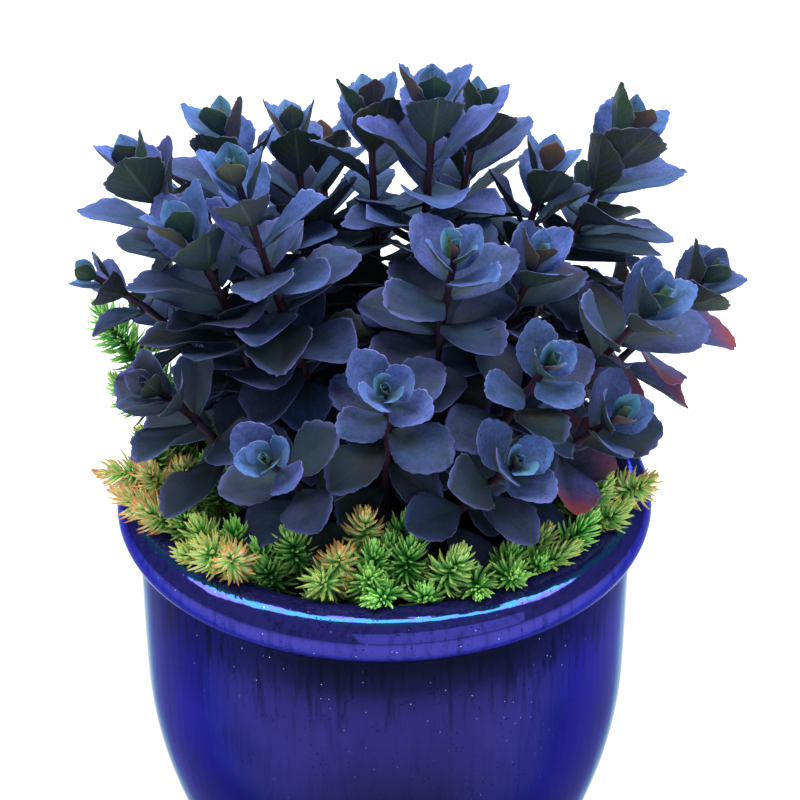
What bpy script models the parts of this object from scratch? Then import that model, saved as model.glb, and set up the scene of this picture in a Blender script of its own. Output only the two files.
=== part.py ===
# A glazed pot planted with a broad-leaved purple sedum and a ring of needle-leaved stonecrop.
# Metres, +Z up. The origin is the middle of the pot's flat underside, and -Y is the front.

import math
import random

import bmesh
import bpy
from mathutils import Vector
from mathutils.bvhtree import BVHTree

MM = 0.001

# Pot: a turned bowl with a rolled rim and a flat foot
POT_SIDES = 32
POT_HEIGHT = 0.310
ROLL_RADIUS = 0.017
ROLL_CENTRE = 0.163  # from the pot's axis to the middle of the roll
BELLY_RADIUS = 0.1685
BELLY_HEIGHT = 0.165
BELLY_CURVE_BELOW = 1.56  # how fast the radius shrinks with the square of the height below the belly
BELLY_CURVE_ABOVE = 0.25
WALL = 0.013
FLOOR = 0.016
FOOT_BEVEL = 0.004
DRAIN_HOLES = 3
DRAIN_RADIUS = 0.006
DRAIN_CIRCLE = 0.050

# Soil: fills the pot to the middle of the roll
SOIL_TOP = 0.286
SOIL_GAP = 0.0004
ROOT_DEPTH = 0.010
ROOT_GAP = 0.0004

# Broad-leaved sedum
STEM_SIDES = 3
STEM_STEPS = 5
STEM_FOOT = 0.0034
STEM_TIP = 0.0022
LEAF_LENGTHS = (0.015, 0.025, 0.038, 0.048, 0.055, 0.058, 0.058, 0.056, 0.053, 0.051)  # innermost pair first
LEAF_ANGLES = (0, 24, 40, 51, 61, 70, 78, 85, 90, 92)  # degrees between a leaf and its stem
LEAF_BENDS = (0, 20, 16, 6, -6, -14, -20, -24, -26, -26)  # degrees that a leaf curls along its length
LEAF_NODES = (0.003, 0.009, 0.018, 0.031, 0.047, 0.065, 0.084, 0.104, 0.125, 0.147)  # from the stem's tip
UPRIGHT_TILT = 27  # a shoot that leans less than this holds its leaves closer to its stem
UPRIGHT_ANGLES = 0.82
UPRIGHT_GROWTH = (0.85, 1.06, 1.10, 1.04)  # innermost pair first
LEAF_WIDTH = 0.37  # half width as a share of the length
LEAF_CUP = 0.34
LEAF_THICK = 0.0026
BUD_THICK = 0.0060  # the innermost pair, still closed
LEAF_START = 0.0010  # from the stem's axis, inside the stem
YOUNG_EDGE = ((0.20, 0.85), (0.64, 1.0))  # share of the length, and of the width there
TOOTHED_EDGE = ((0.24, 0.85), (0.54, 1.05), (0.80, 1.10))
OLD_EDGE = ((0.32, 1.0), (0.74, 1.06))
EDGE_WAVE = 0.0011
CLEARANCE = 0.0004

# Needle-leaved stonecrop
SPRAY_SIDES = 3
SPRAY_FOOT = 0.0021
SPRAY_TIP = 0.0012
SPRAY_LEAFY = 0.0016
BRANCH_FOOT = 0.0009
NEEDLE_LENGTH = 0.0180
END_NEEDLE = 0.0070
NEEDLE_ROOT = 0.0026  # along the stem
NEEDLE_WHORLS = ((0.0125, 78), (0.0078, 62), (0.0052, 45), (0.0026, 28))  # from the spray's tip, angle
WHORL_TURN = 47

# Each shoot: root x, y; tip x, y, z; azimuth and tilt of the way the tip faces; leaf pairs; size of its
# leaves; twist of the first pair; how close the four innermost pairs sit.
# Lengths are in millimetres and angles in degrees, and azimuth 270 is the front.
SHOOTS = (
    ((-60, -2), (-153, 0, 527), (180, 24), 9, 0.95, 8, 1.0),
    ((-90, 14), (-186, 0, 452), (185, 62), 6, 0.72, 20, 0.9),
    ((-44, 22), (-102, 32, 541), (150, 15), 8, 0.95, -14, 1.2),
    ((-20, 34), (-59, 60, 531), (120, 8), 8, 0.95, 10, 1.2),
    ((-34, -26), (-84, -62, 545), (205, 14), 9, 0.98, 0, 1.2),
    ((2, 30), (-8, 42, 551), (90, 6), 8, 0.98, 28, 1.1),
    ((10, 0), (30, 0, 571), (270, 4), 8, 1.00, 4, 1.1),
    ((30, 28), (61, 50, 548), (30, 12), 8, 0.95, 24, 1.1),
    ((46, 6), (103, 20, 520), (10, 12), 8, 0.90, 0, 1.0),
    ((66, 16), (153, 20, 543), (0, 24), 9, 1.05, 14, 1.1),
    ((18, -40), (42, -78, 501), (280, 28), 8, 0.94, 36, 0.8),
    ((44, -24), (94, -46, 486), (320, 24), 8, 0.85, 24, 0.85),
    ((0, -66), (3, -132, 441), (268, 46), 9, 0.80, 40, 0.7),
    ((48, -56), (95, -122, 454), (290, 40), 9, 0.80, 30, 0.75),
    ((74, -34), (160, -76, 470), (325, 32), 9, 1.00, 16, 0.85),
    ((94, -4), (203, -12, 458), (352, 34), 8, 0.95, 0, 1.0),
    ((-34, -76), (-66, -130, 394), (256, 50), 8, 0.80, 24, 0.65),
    ((30, -84), (77, -136, 396), (285, 46), 8, 0.86, 44, 0.7),
    ((-66, -32), (-118, -40, 500), (195, 26), 10, 1.05, 34, 1.0),
    ((-82, -50), (-138, -80, 414), (212, 48), 8, 0.92, 50, 0.8),
    ((84, -48), (140, -96, 404), (318, 46), 7, 0.90, 10, 0.8),
    ((-66, 48), (-132, 92, 478), (145, 30), 8, 1.00, 12, 1.0),
    ((-26, 70), (-46, 122, 488), (112, 24), 7, 1.05, 30, 1.0),
    ((28, 66), (52, 118, 492), (66, 24), 7, 1.05, 0, 1.0),
    ((74, 44), (142, 86, 474), (30, 30), 8, 1.00, 34, 1.0),
    ((-90, 46), (-158, 88, 398), (150, 50), 7, 0.98, 10, 0.9),
    ((-36, 94), (-58, 166, 398), (110, 50), 7, 1.00, 26, 0.9),
    ((34, 94), (58, 166, 396), (70, 50), 7, 1.00, 0, 0.9),
    ((94, 46), (166, 92, 396), (30, 50), 7, 0.98, 14, 0.9),
)

# Each tuft of stonecrop: root x, y, and then the x, y, z of the tip of each of its sprays, in millimetres
TUFTS = (
    ((-134, -14), ((-182, -26, 320), (-155, -24, 346))),
    ((-128, -38), ((-150, -56, 342), (-127, -59, 346))),
    ((-122, -60), ((-166, -62, 326), (-128, -67, 330))),
    ((-116, -76), ((-150, -80, 329), (-124, -86, 330))),
    ((-100, -64), ((-106, -58, 347),)),
    ((-102, -94), ((-113, -106, 333),)),
    ((-88, -106), ((-107, -130, 334), (-90, -138, 334))),
    ((-66, -112), ((-72, -121, 314),)),
    ((-50, -106), ((-57, -112, 331),)),
    ((-30, -116), ((-25, -138, 334), (-37, -150, 324))),
    ((-12, -102), ((-10, -118, 346),)),
    ((-8, -120), ((-5, -130, 331), (-8, -146, 324))),
    ((10, -122), ((17, -129, 334), (-4, -158, 316))),
    ((28, -130), ((46, -143, 336),)),
    ((54, -116), ((57, -150, 314),)),
    ((72, -108), ((78, -115, 320), (79, -139, 320))),
    ((98, -90), ((114, -108, 316), (127, -90, 325))),
    ((118, -64), ((131, -60, 337), (150, -75, 324))),
    ((132, -28), ((168, -58, 334), (142, -16, 318))),
    ((-134, 26), ((-162, 26, 318),)),
    ((-126, 50), ((-190, 44, 404), (-150, 74, 318))),
    ((-108, 80), ((-132, 104, 322), (-108, 112, 316))),
    ((-72, 114), ((-86, 142, 320), (-62, 140, 318))),
    ((-28, 132), ((-38, 158, 322),)),
    ((12, 134), ((6, 162, 318), (28, 154, 320))),
    ((54, 122), ((64, 150, 322),)),
    ((90, 100), ((104, 126, 320), (82, 136, 316))),
    ((118, 66), ((142, 88, 320), (134, 58, 316))),
    ((134, 22), ((166, 32, 322), (148, 4, 318))),
)

# How a leaf gives way to its neighbours: swing round the stem, lift off it (degrees), share of its size
LEAF_TRIES = (
    (0, 0, 1.0), (0, -12, 1.0), (0, 12, 1.0), (14, 0, 1.0), (-14, 0, 1.0), (14, -14, 0.95),
    (-14, -14, 0.95), (14, 14, 0.95), (-14, 14, 0.95), (0, -24, 0.95), (0, 24, 0.95),
    (28, 0, 0.9), (-28, 0, 0.9), (26, -20, 0.85), (-26, -20, 0.85), (26, 20, 0.85),
    (-26, 20, 0.85), (0, 0, 0.75), (0, -20, 0.75), (0, 20, 0.75), (32, 0, 0.7), (-32, 0, 0.7),
    (0, 0, 0.55), (30, -24, 0.55), (-30, -24, 0.55), (0, 30, 0.5), (0, -34, 0.5),
)
STEM_TRIES = [(lift, sway) for lift in range(0, 28, 3) for sway in (0, 5, -5, 10, -10, 15, -15)]
NEEDLE_TRIES = (
    (0, 0, 1.0), (0, 16, 1.0), (0, -16, 1.0), (22, 0, 1.0), (-22, 0, 1.0), (22, 18, 0.9),
    (-22, 18, 0.9), (22, -18, 0.9), (-22, -18, 0.9), (0, 0, 0.65), (0, -20, 0.65), (0, 20, 0.65),
)


def body_radius(z):
    """Outer radius of the pot below its roll."""
    curve = BELLY_CURVE_BELOW if z < BELLY_HEIGHT else BELLY_CURVE_ABOVE
    return BELLY_RADIUS - curve * (z - BELLY_HEIGHT) ** 2


def inner_wall(gap=0.0):
    """The pot's inside from the roll down to the floor, as (radius, height), moved in by gap."""
    roll_inside = ROLL_CENTRE - ROLL_RADIUS
    heights = (0.200, 0.100, FLOOR + 0.012)
    points = [(roll_inside, POT_HEIGHT - ROLL_RADIUS), (roll_inside + 0.002, 0.268)]
    points += [(body_radius(z) - WALL, z) for z in heights]
    points.append((body_radius(FLOOR) - WALL - 0.010, FLOOR))
    return [(r - gap, z) for r, z in points]


def roll_arc(first, last, steps):
    """Points round the rolled rim, by angle from its outer side, in degrees."""
    z = POT_HEIGHT - ROLL_RADIUS
    angles = [math.radians(first + (last - first) * i / steps) for i in range(steps + 1)]
    return [(ROLL_CENTRE + ROLL_RADIUS * math.cos(a), z + ROLL_RADIUS * math.sin(a)) for a in angles]


def material(name, colour, roughness, metallic=0.0):
    made = bpy.data.materials.new(name)
    made.use_nodes = True
    shader = made.node_tree.nodes["Principled BSDF"]
    shader.inputs["Base Color"].default_value = (*colour, 1.0)
    shader.inputs["Roughness"].default_value = roughness
    shader.inputs["Metallic"].default_value = metallic
    return made


def add_object(name, mesh, finish, sharp=40):
    """Puts a mesh in the scene as a node, shaded smooth up to an angle."""
    mesh.shade_smooth()
    mesh.set_sharp_from_angle(angle=math.radians(sharp))
    mesh.materials.append(finish)
    obj = bpy.data.objects.new(name, mesh)
    bpy.context.scene.collection.objects.link(obj)
    return obj


def mesh_of(name, points, faces):
    mesh = bpy.data.meshes.new(name)
    mesh.from_pydata(points, [], faces)
    return mesh


def turned(name, profile):
    """A solid turned about Z from an outline that starts and ends on the axis."""
    bm = bmesh.new()
    line = [bm.verts.new((r, 0, z)) for r, z in profile]
    edges = [bm.edges.new(pair) for pair in zip(line, line[1:])]
    bmesh.ops.spin(
        bm, geom=line + edges, cent=(0, 0, 0), axis=(0, 0, 1), angle=math.tau, steps=POT_SIDES
    )
    bmesh.ops.remove_doubles(bm, verts=bm.verts, dist=1e-6)
    bmesh.ops.recalc_face_normals(bm, faces=bm.faces)
    bmesh.ops.dissolve_limit(bm, angle_limit=math.radians(0.1), verts=bm.verts, edges=bm.edges)
    mesh = bpy.data.meshes.new(name)
    bm.to_mesh(mesh)
    bm.free()
    return mesh


def boolean(obj, others, operation):
    """Applies one Boolean between obj and every mesh in others, and removes the others."""
    group = bpy.data.collections.new(obj.name + "_others")
    bpy.context.scene.collection.children.link(group)
    for index, mesh in enumerate(others):
        group.objects.link(bpy.data.objects.new(f"{obj.name}_other_{index}", mesh))
    modifier = obj.modifiers.new("join", "BOOLEAN")
    modifier.operation = operation
    modifier.operand_type = "COLLECTION"
    modifier.collection = group
    bpy.context.view_layer.update()
    graph = bpy.context.evaluated_depsgraph_get()
    result = bpy.data.meshes.new_from_object(obj.evaluated_get(graph))
    obj.modifiers.remove(modifier)
    obj.data = result
    for other in list(group.objects):
        bpy.data.objects.remove(other)
    bpy.data.collections.remove(group)


def bezier(points, t):
    a, b, c, d = points
    s = 1 - t
    return a * s**3 + b * (3 * s * s * t) + c * (3 * s * t * t) + d * t**3


def polyline(points, steps):
    return [bezier(points, i / steps) for i in range(steps + 1)]


def at_distance(line, distance):
    """Point and forward direction on a polyline, a distance back from its last point."""
    for a, b in zip(reversed(line[:-1]), reversed(line[1:])):
        step = (b - a).length
        if distance <= step:
            return b + (a - b) * (distance / step), (b - a).normalized()
        distance -= step
    return line[0].copy(), (line[1] - line[0]).normalized()


def across(direction, angle):
    """Unit vector square to a direction, on the side of an azimuth given in radians."""
    side = Vector((math.cos(angle), math.sin(angle), 0))
    return (side - direction * side.dot(direction)).normalized()


def tube(line, radii, sides, turns=None):
    """Points and faces of a closed tube along a line, with a radius and a turn in degrees at each point."""
    points, faces = [], []
    turns = turns or [0] * len(line)
    for i, (centre, radius) in enumerate(zip(line, radii)):
        ahead = (line[min(i + 1, len(line) - 1)] - line[max(i - 1, 0)]).normalized()
        u = across(ahead, 0.0)
        v = ahead.cross(u)
        for k in range(sides):
            a = math.tau * k / sides + math.radians(turns[i])
            points.append(centre + (u * math.cos(a) + v * math.sin(a)) * radius)
    for i in range(len(line) - 1):
        for k in range(sides):
            n = (k + 1) % sides
            row = i * sides
            faces.append((row + k, row + n, row + sides + n, row + sides + k))
    faces.append(tuple(reversed(range(sides))))
    faces.append(tuple(range((len(line) - 1) * sides, len(line) * sides)))
    return points, faces


def rooted(line):
    """A stem's line with a straight root, square to the horizon, let into the soil below its start."""
    start = line[0]
    return [start - Vector((0, 0, ROOT_DEPTH)), start + Vector((0, 0, 0.002))] + line[1:]


def shoot_line(root, tip, facing):
    azimuth, tilt = (math.radians(a) for a in facing)
    start = Vector((root[0] * MM, root[1] * MM, SOIL_TOP))
    end = Vector(tip) * MM
    aim = Vector((math.cos(azimuth) * math.sin(tilt), math.sin(azimuth) * math.sin(tilt), math.cos(tilt)))
    reach = (end - start).length
    return polyline((start, start + Vector((0, 0, reach * 0.30)), end - aim * reach * 0.36, end), STEM_STEPS)


def spray_line(start, tip, steep, lift=0.0, sway=0.0):
    """The line of a spray's stem, which starts off straight up where steep is 1 and at its tip where it is 0."""
    end = Vector(tip) * MM
    reach = (end - start).length
    ahead = (end - start).normalized()
    first = (ahead * (1 - steep) + Vector((0, 0, steep))).normalized()
    last = (ahead + Vector((0, 0, 0.35))).normalized()
    bent = Vector((0, 0, lift)) + across(Vector((0, 0, 1)), math.atan2(ahead.x, -ahead.y)) * sway
    return polyline((start, start + first * reach * 0.35 + bent, end - last * reach * 0.3 + bent, end), 12)


def half_width(share):
    """Outline of an obovate leaf: half its width at a share of its length, 1 at the widest."""
    return math.sin(math.pi * share**1.3) ** 0.7 if 0 < share < 1 else 0.0


def leaf_point(leaf, share, side, height):
    """A point of a leaf: share along it, side across it in metres, height off its middle surface."""
    bend = leaf["bend"] * share
    if abs(leaf["bend"]) > 1e-4:
        run, rise = math.sin(bend) / leaf["bend"], (1 - math.cos(bend)) / leaf["bend"]
    else:
        run, rise = share, 0.0
    over = leaf["face"] * math.cos(bend) - leaf["out"] * math.sin(bend)
    lift = height + leaf["cup"] * side * side / leaf["width"]
    middle = leaf["out"] * run + leaf["face"] * rise
    return leaf["base"] + middle * leaf["length"] + leaf["side"] * side + over * lift


def leaf_mesh(leaf, edge, margin=0.0):
    """Points and faces of one blade: its toothed edge, and a ridge of one or two points on each face."""
    count = len(edge)
    thick = leaf["thick"] + margin
    points = [leaf_point(leaf, 0.0, 0.0, 0.0)]
    for sign in (1, -1):
        for i, (share, tooth) in enumerate(edge):
            side = leaf["width"] * half_width(share) * tooth + margin
            wave = EDGE_WAVE * leaf["length"] / 0.045 * (-1) ** i * sign if count > 2 else 0.0
            points.append(leaf_point(leaf, share, sign * side, wave))
        if sign == 1:
            points.append(leaf_point(leaf, 1.0 + margin / leaf["length"], 0.0, 0.0))
    ridge = (0.52,)
    points += [leaf_point(leaf, share, 0.0, -thick) for share in ridge]
    points += [leaf_point(leaf, share, 0.0, thick) for share in ridge]
    right = [0, *range(1, count + 2)]
    left = [0, *range(count + 2, 2 * count + 2), count + 1]
    faces = []
    for rim, turned_over in ((right, False), (left, True)):
        for below in (True, False):
            mids = [2 * count + 2 + i + (0 if below else len(ridge)) for i in range(len(ridge))]
            flip = turned_over == below
            faces += split_blade(rim, mids, flip)
    return points, faces


def split_blade(rim, mids, flip):
    """Triangles between one side of a blade's edge and its ridge."""
    half = (len(rim) + 1) // 2 if len(mids) > 1 else len(rim)
    found = [(rim[i], rim[i + 1], mids[0]) for i in range(half - 1)]
    if len(mids) > 1:
        found.append((rim[half - 1], mids[1], mids[0]))
        found += [(rim[i], rim[i + 1], mids[1]) for i in range(half - 1, len(rim) - 1)]
    return [tuple(reversed(f)) for f in found] if flip else found


def edge_of(pair):
    return YOUNG_EDGE if pair < 2 else TOOTHED_EDGE if pair < 4 else OLD_EDGE


def leaf_at(line, shoot, pair, opposite, tweak, jitter):
    """The frame and shape of one leaf, with the way that it gives to its neighbours."""
    swing, lift, share = tweak
    size, twist = shoot[4], shoot[5]
    upright = shoot[2][1] < UPRIGHT_TILT
    rosette = LEAF_NODES[min(pair, 3)]
    distance = rosette * shoot[6] + LEAF_NODES[pair] - rosette
    base, up = at_distance(line, distance + 0.002 * opposite * (pair > 1))
    turn = math.radians(twist + 90 * pair + 180 * opposite + swing + jitter[0])
    away = across(up, turn)
    angle = math.radians(LEAF_ANGLES[pair] * (UPRIGHT_ANGLES if upright else 1.0) + lift + jitter[1])
    length = LEAF_LENGTHS[pair] * size * share * jitter[2] * (UPRIGHT_GROWTH[min(pair, 3)] if upright else 1.0)
    out = up * math.cos(angle) + away * math.sin(angle)
    return {
        "base": base + out * LEAF_START,
        "out": out,
        "face": up * math.sin(angle) - away * math.cos(angle),
        "side": up.cross(away),
        "length": length,
        "width": length * LEAF_WIDTH * jitter[3],
        "bend": math.radians(LEAF_BENDS[pair] + jitter[4]),
        "thick": (LEAF_THICK * min(1.0, length / 0.03) if pair else BUD_THICK * size) / 2,
        "cup": LEAF_CUP * jitter[5],
        "pair": pair,
    }


def in_pot_or_soil(points, room=0.0):
    """True if a point comes too near the pot's roll or the soil."""
    roll_z = POT_HEIGHT - ROLL_RADIUS
    room += CLEARANCE * 3
    for p in points:
        r = math.hypot(p.x, p.y)
        if math.hypot(r - ROLL_CENTRE, p.z - roll_z) < ROLL_RADIUS + room:
            return True
        if p.z < roll_z and ROLL_CENTRE - ROLL_RADIUS - room < r < ROLL_CENTRE + ROLL_RADIUS + room:
            return True
        if p.z < SOIL_TOP + room and r < ROLL_CENTRE:
            return True
    return False


def tree_of(solid):
    return BVHTree.FromPolygons(*solid) if solid else None


def ball_round(points):
    middle = sum(points, Vector()) / len(points)
    return middle, max((p - middle).length for p in points)


class Taken:
    """The space already held by stems, leaves and needles, each with its node's name."""

    def __init__(self):
        self.held = []

    def add(self, node, solid, outer=None):
        """outer is the part of the solid that the same node's other pieces also keep clear of."""
        middle, reach = ball_round(solid[0])
        self.held.append((node, middle, reach, tree_of(solid), tree_of(outer)))

    def clear(self, node, solid, outer=None):
        middle, reach = ball_round(solid[0])
        tree, own = tree_of(solid), tree_of(outer)
        for name, centre, radius, held, inner in self.held:
            if (centre - middle).length > radius + reach:
                continue
            if name != node and tree.overlap(held):
                return False
            if name == node and own and inner and own.overlap(inner):
                return False
        return True


def stem_radii(count, foot, tip):
    return [foot + (tip - foot) * max(0, i - 1) / (count - 2) for i in range(count)]


def plan_shoots(taken):
    """Places the stem of every leafy shoot, with the small differences between its leaves."""
    plans = []
    for index, shoot in enumerate(SHOOTS):
        name = f"sedum_shoot_{index + 1:02d}"
        line = shoot_line(*shoot[:3])
        core = rooted(line)
        solid = tube(core, stem_radii(len(core), STEM_FOOT, STEM_TIP), STEM_SIDES)
        taken.add(name, solid)
        draw = random.Random(name)
        jitters = {}
        for pair in range(len(LEAF_LENGTHS)):
            for opposite in (0, 1):
                jitters[pair, opposite] = (
                    draw.uniform(-9, 9), draw.uniform(-6, 6), draw.uniform(0.92, 1.06),
                    draw.uniform(0.90, 1.06), draw.uniform(-9, 9), draw.uniform(0.5, 1.3),
                )
        plans.append({"name": name, "shoot": shoot, "line": line, "core": solid,
                      "jitters": jitters, "leaves": []})
    return plans


def grow_leaves(plans, taken):
    """Places the bud of every shoot, and then its leaves pair by pair down the stem, so that none cross."""
    for pair in range(len(LEAF_LENGTHS)):
        for plan in plans:
            if pair < plan["shoot"][3]:
                for opposite in (0, 1) if pair else (0,):
                    place_leaf(plan, pair, opposite, taken)


def place_leaf(plan, pair, opposite, taken):
    edge = edge_of(pair)
    for tweak in LEAF_TRIES:
        leaf = leaf_at(plan["line"], plan["shoot"], pair, opposite, tweak, plan["jitters"][pair, opposite])
        roomy, faces = leaf_mesh(leaf, edge, CLEARANCE)
        near_base = {0, 1, len(edge) + 2}
        outer = [f for f in faces if not near_base & set(f)]
        if in_pot_or_soil(roomy) or not taken.clear(plan["name"], (roomy, faces), (roomy, outer)):
            continue
        points, faces = leaf_mesh(leaf, edge)
        taken.add(plan["name"], (points, faces), (points, outer))
        plan["leaves"].append(leaf)
        return


def plan_tufts(taken):
    """Places the stems of every tuft."""
    plans = []
    for index, (root, tips) in enumerate(TUFTS):
        name = f"stonecrop_tuft_{index + 1:02d}"
        foot = Vector((root[0] * MM, root[1] * MM, SOIL_TOP))
        plan = {"name": name, "foot": foot, "sprays": []}
        for order, tip in enumerate(tips):
            plan["sprays"].append(free_stem(plan, order, tip, taken))
        plans.append(plan)
    return plans


def free_stem(plan, order, tip, taken):
    """The stem of a tuft's next spray, bent up or aside until it is clear of the pot and every other node."""
    for lift, sway in STEM_TRIES:
        if order:
            core = plan["sprays"][0]["core"]
            line = spray_line((core[1] + core[2]) / 2, tip, 0.2, lift * MM, sway * MM)
        else:
            line = spray_line(plan["foot"], tip, 1.0, lift * MM, sway * MM)
        spray = spray_stem(line, order)
        solid = (spray["points"], spray["faces"])
        end = end_needle(spray)
        free = taken.clear(plan["name"], solid) and taken.clear(plan["name"], end)
        if free and not in_pot_or_soil(line[4:], SPRAY_FOOT):
            break
    taken.add(plan["name"], solid)
    taken.add(plan["name"], end)
    return spray


def end_needle(spray):
    """The needle that ends a spray: the last ring of its stem, and a point straight ahead of it."""
    core = spray["core"]
    tip = core[-1] + (core[-1] - core[-2]).normalized() * END_NEEDLE
    return [*spray["points"][-SPRAY_SIDES:], tip], [(0, 1, 3), (1, 2, 3), (2, 0, 3), (2, 1, 0)]


def spray_stem(line, order):
    """A spray's stem, with a ring at both ends of every whorl of needles."""
    reach = sum((b - a).length for a, b in zip(line, line[1:]))
    core = [line[0]] if order else rooted(line)[:2]
    radii = [BRANCH_FOOT if order else SPRAY_FOOT] * (len(core) + 1)
    core.append(at_distance(line, (reach + NEEDLE_WHORLS[0][0]) / 2)[0])
    turns = [0] * len(core)
    whorls = []
    below = reach
    for lower, angle in NEEDLE_WHORLS:
        if lower < below - 1e-5:
            core.append(at_distance(line, lower)[0])
            turns.append(turns[-1])
        whorls.append((len(core) - 1, angle))
        below = lower - NEEDLE_ROOT
        core.append(at_distance(line, below)[0])
        turns.append(turns[-1] + WHORL_TURN)
    radii += [SPRAY_LEAFY] * (len(core) - len(radii) - 1) + [SPRAY_TIP]
    points, faces = tube(core, radii, SPRAY_SIDES, turns)
    return {"line": line, "core": core, "points": points, "faces": faces, "whorls": whorls}


def grow_needles(name, spray, taken):
    """Draws faces of the stem out into needles, each tapered from its face to a point."""
    core, points, faces = spray["core"], spray["points"], spray["faces"]
    grown = {}
    for ring, angle in spray["whorls"]:
        up = (core[ring + 1] - core[ring]).normalized()
        for k in range(SPRAY_SIDES):
            index = ring * SPRAY_SIDES + k
            corners = [points[i] for i in faces[index]]
            grown[index] = free_tip(name, corners, (core[ring] + core[ring + 1]) / 2, up, angle, taken)
    grown[len(faces) - 1] = end_needle(spray)[0][-1]
    spiked = []
    for index, face in enumerate(faces):
        if grown.get(index) is None:
            spiked.append(face)
            continue
        points.append(grown[index])
        spiked += [(face[i], face[(i + 1) % len(face)], len(points) - 1) for i in range(len(face))]
    spray["faces"] = spiked


def free_tip(name, corners, inside, up, angle, taken):
    """The tip of a needle that grows from a face and is clear of everything else, or None."""
    centre = sum(corners, Vector()) / len(corners)
    away = (centre - inside).normalized()
    side = up.cross(away)
    for swing, lift, share in NEEDLE_TRIES:
        turn = math.radians(swing)
        tilt = math.radians(angle + lift)
        out = away * math.cos(turn) + side * math.sin(turn)
        tip = centre + (up * math.cos(tilt) + out * math.sin(tilt)) * NEEDLE_LENGTH * share
        shell = [(0, 1, 4), (1, 2, 4), (2, 3, 4), (3, 0, 4), (3, 2, 1, 0)]
        roomy = [centre + (corner - centre) * 1.3 for corner in corners]
        roomy.append(tip + (tip - centre).normalized() * CLEARANCE * 2)
        outer = [corner.lerp(tip, 0.35) for corner in corners] + [tip]
        along = [centre.lerp(tip, i / 4) for i in (1, 2, 3)]
        if in_pot_or_soil(along + [tip]) or not taken.clear(name, (roomy, shell), (outer, shell)):
            continue
        taken.add(name, ([*corners, tip], shell), (outer, shell))
        return tip
    return None


def make_pot(finish):
    foot = body_radius(0.0)
    profile = [(0.0, 0.0), (foot - FOOT_BEVEL, 0.0), (foot, FOOT_BEVEL)]
    profile += [(body_radius(z), z) for z in (0.045, 0.100, 0.175, 0.272)]
    profile += roll_arc(-58, 180, 6)
    profile += inner_wall()[1:]
    profile.append((0.0, FLOOR))
    pot = add_object("pot", turned("pot", profile), finish)
    cutters = []
    for k in range(DRAIN_HOLES):
        a = math.tau * (k + 0.25) / DRAIN_HOLES
        x, y = DRAIN_CIRCLE * math.cos(a), DRAIN_CIRCLE * math.sin(a)
        line = [Vector((x, y, -FLOOR)), Vector((x, y, FLOOR * 2))]
        cutters.append(mesh_of("drain", *tube(line, [DRAIN_RADIUS] * 2, 6)))
    boolean(pot, cutters, "DIFFERENCE")


def make_soil(finish, roots):
    """The soil, with a plain hole for each root."""
    top = ROLL_CENTRE - ROLL_RADIUS + 0.0006 - SOIL_GAP
    wall = [point for point in inner_wall(SOIL_GAP) if point[1] < SOIL_TOP - 0.01]
    wall[-1] = (wall[-1][0], FLOOR + SOIL_GAP)
    profile = [(0.0, FLOOR + SOIL_GAP)] + wall[::-1]
    profile += [(top, SOIL_TOP), (0.0, SOIL_TOP)]
    soil = add_object("soil", turned("soil", profile), finish)
    holes = []
    for start, radius, sides in roots:
        room = (radius + ROOT_GAP) / math.cos(math.pi / sides)
        line = [start - Vector((0, 0, ROOT_DEPTH + ROOT_GAP)), start + Vector((0, 0, 0.02))]
        holes.append(mesh_of("hole", *tube(line, [room] * 2, sides)))
    boolean(soil, holes, "DIFFERENCE")


def make_shoot(plan, finish):
    shoot = add_object(plan["name"], mesh_of(plan["name"], *plan["core"]), finish, 30)
    leaves = [mesh_of("leaf", *leaf_mesh(leaf, edge_of(leaf["pair"]))) for leaf in plan["leaves"]]
    boolean(shoot, leaves, "UNION")


def make_tuft(plan, finish):
    sprays = [mesh_of("spray", spray["points"], spray["faces"]) for spray in plan["sprays"]]
    tuft = add_object(plan["name"], sprays[0], finish, 30)
    if len(sprays) > 1:
        boolean(tuft, sprays[1:], "UNION")


def main():
    for obj in list(bpy.data.objects):
        bpy.data.objects.remove(obj)
    glaze = material("cobalt_glaze", (0.016, 0.018, 0.30), 0.12)
    earth = material("potting_soil", (0.022, 0.015, 0.010), 0.95)
    purple = material("purple_leaf", (0.085, 0.080, 0.32), 0.55)
    green = material("green_needle", (0.25, 0.42, 0.05), 0.50)
    taken = Taken()
    shoots = plan_shoots(taken)
    tufts = plan_tufts(taken)
    grow_leaves(shoots, taken)
    for plan in tufts:
        for spray in plan["sprays"]:
            grow_needles(plan["name"], spray, taken)
    roots = [(plan["line"][0], STEM_FOOT, STEM_SIDES) for plan in shoots]
    roots += [(plan["foot"], SPRAY_FOOT, SPRAY_SIDES) for plan in tufts]
    make_pot(glaze)
    make_soil(earth, roots)
    for plan in shoots:
        make_shoot(plan, purple)
    for plan in tufts:
        make_tuft(plan, green)


main()
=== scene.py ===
import math
import random

import bmesh
import bpy
import numpy as np
from mathutils import Matrix, Vector
from mathutils.bvhtree import BVHTree


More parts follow.
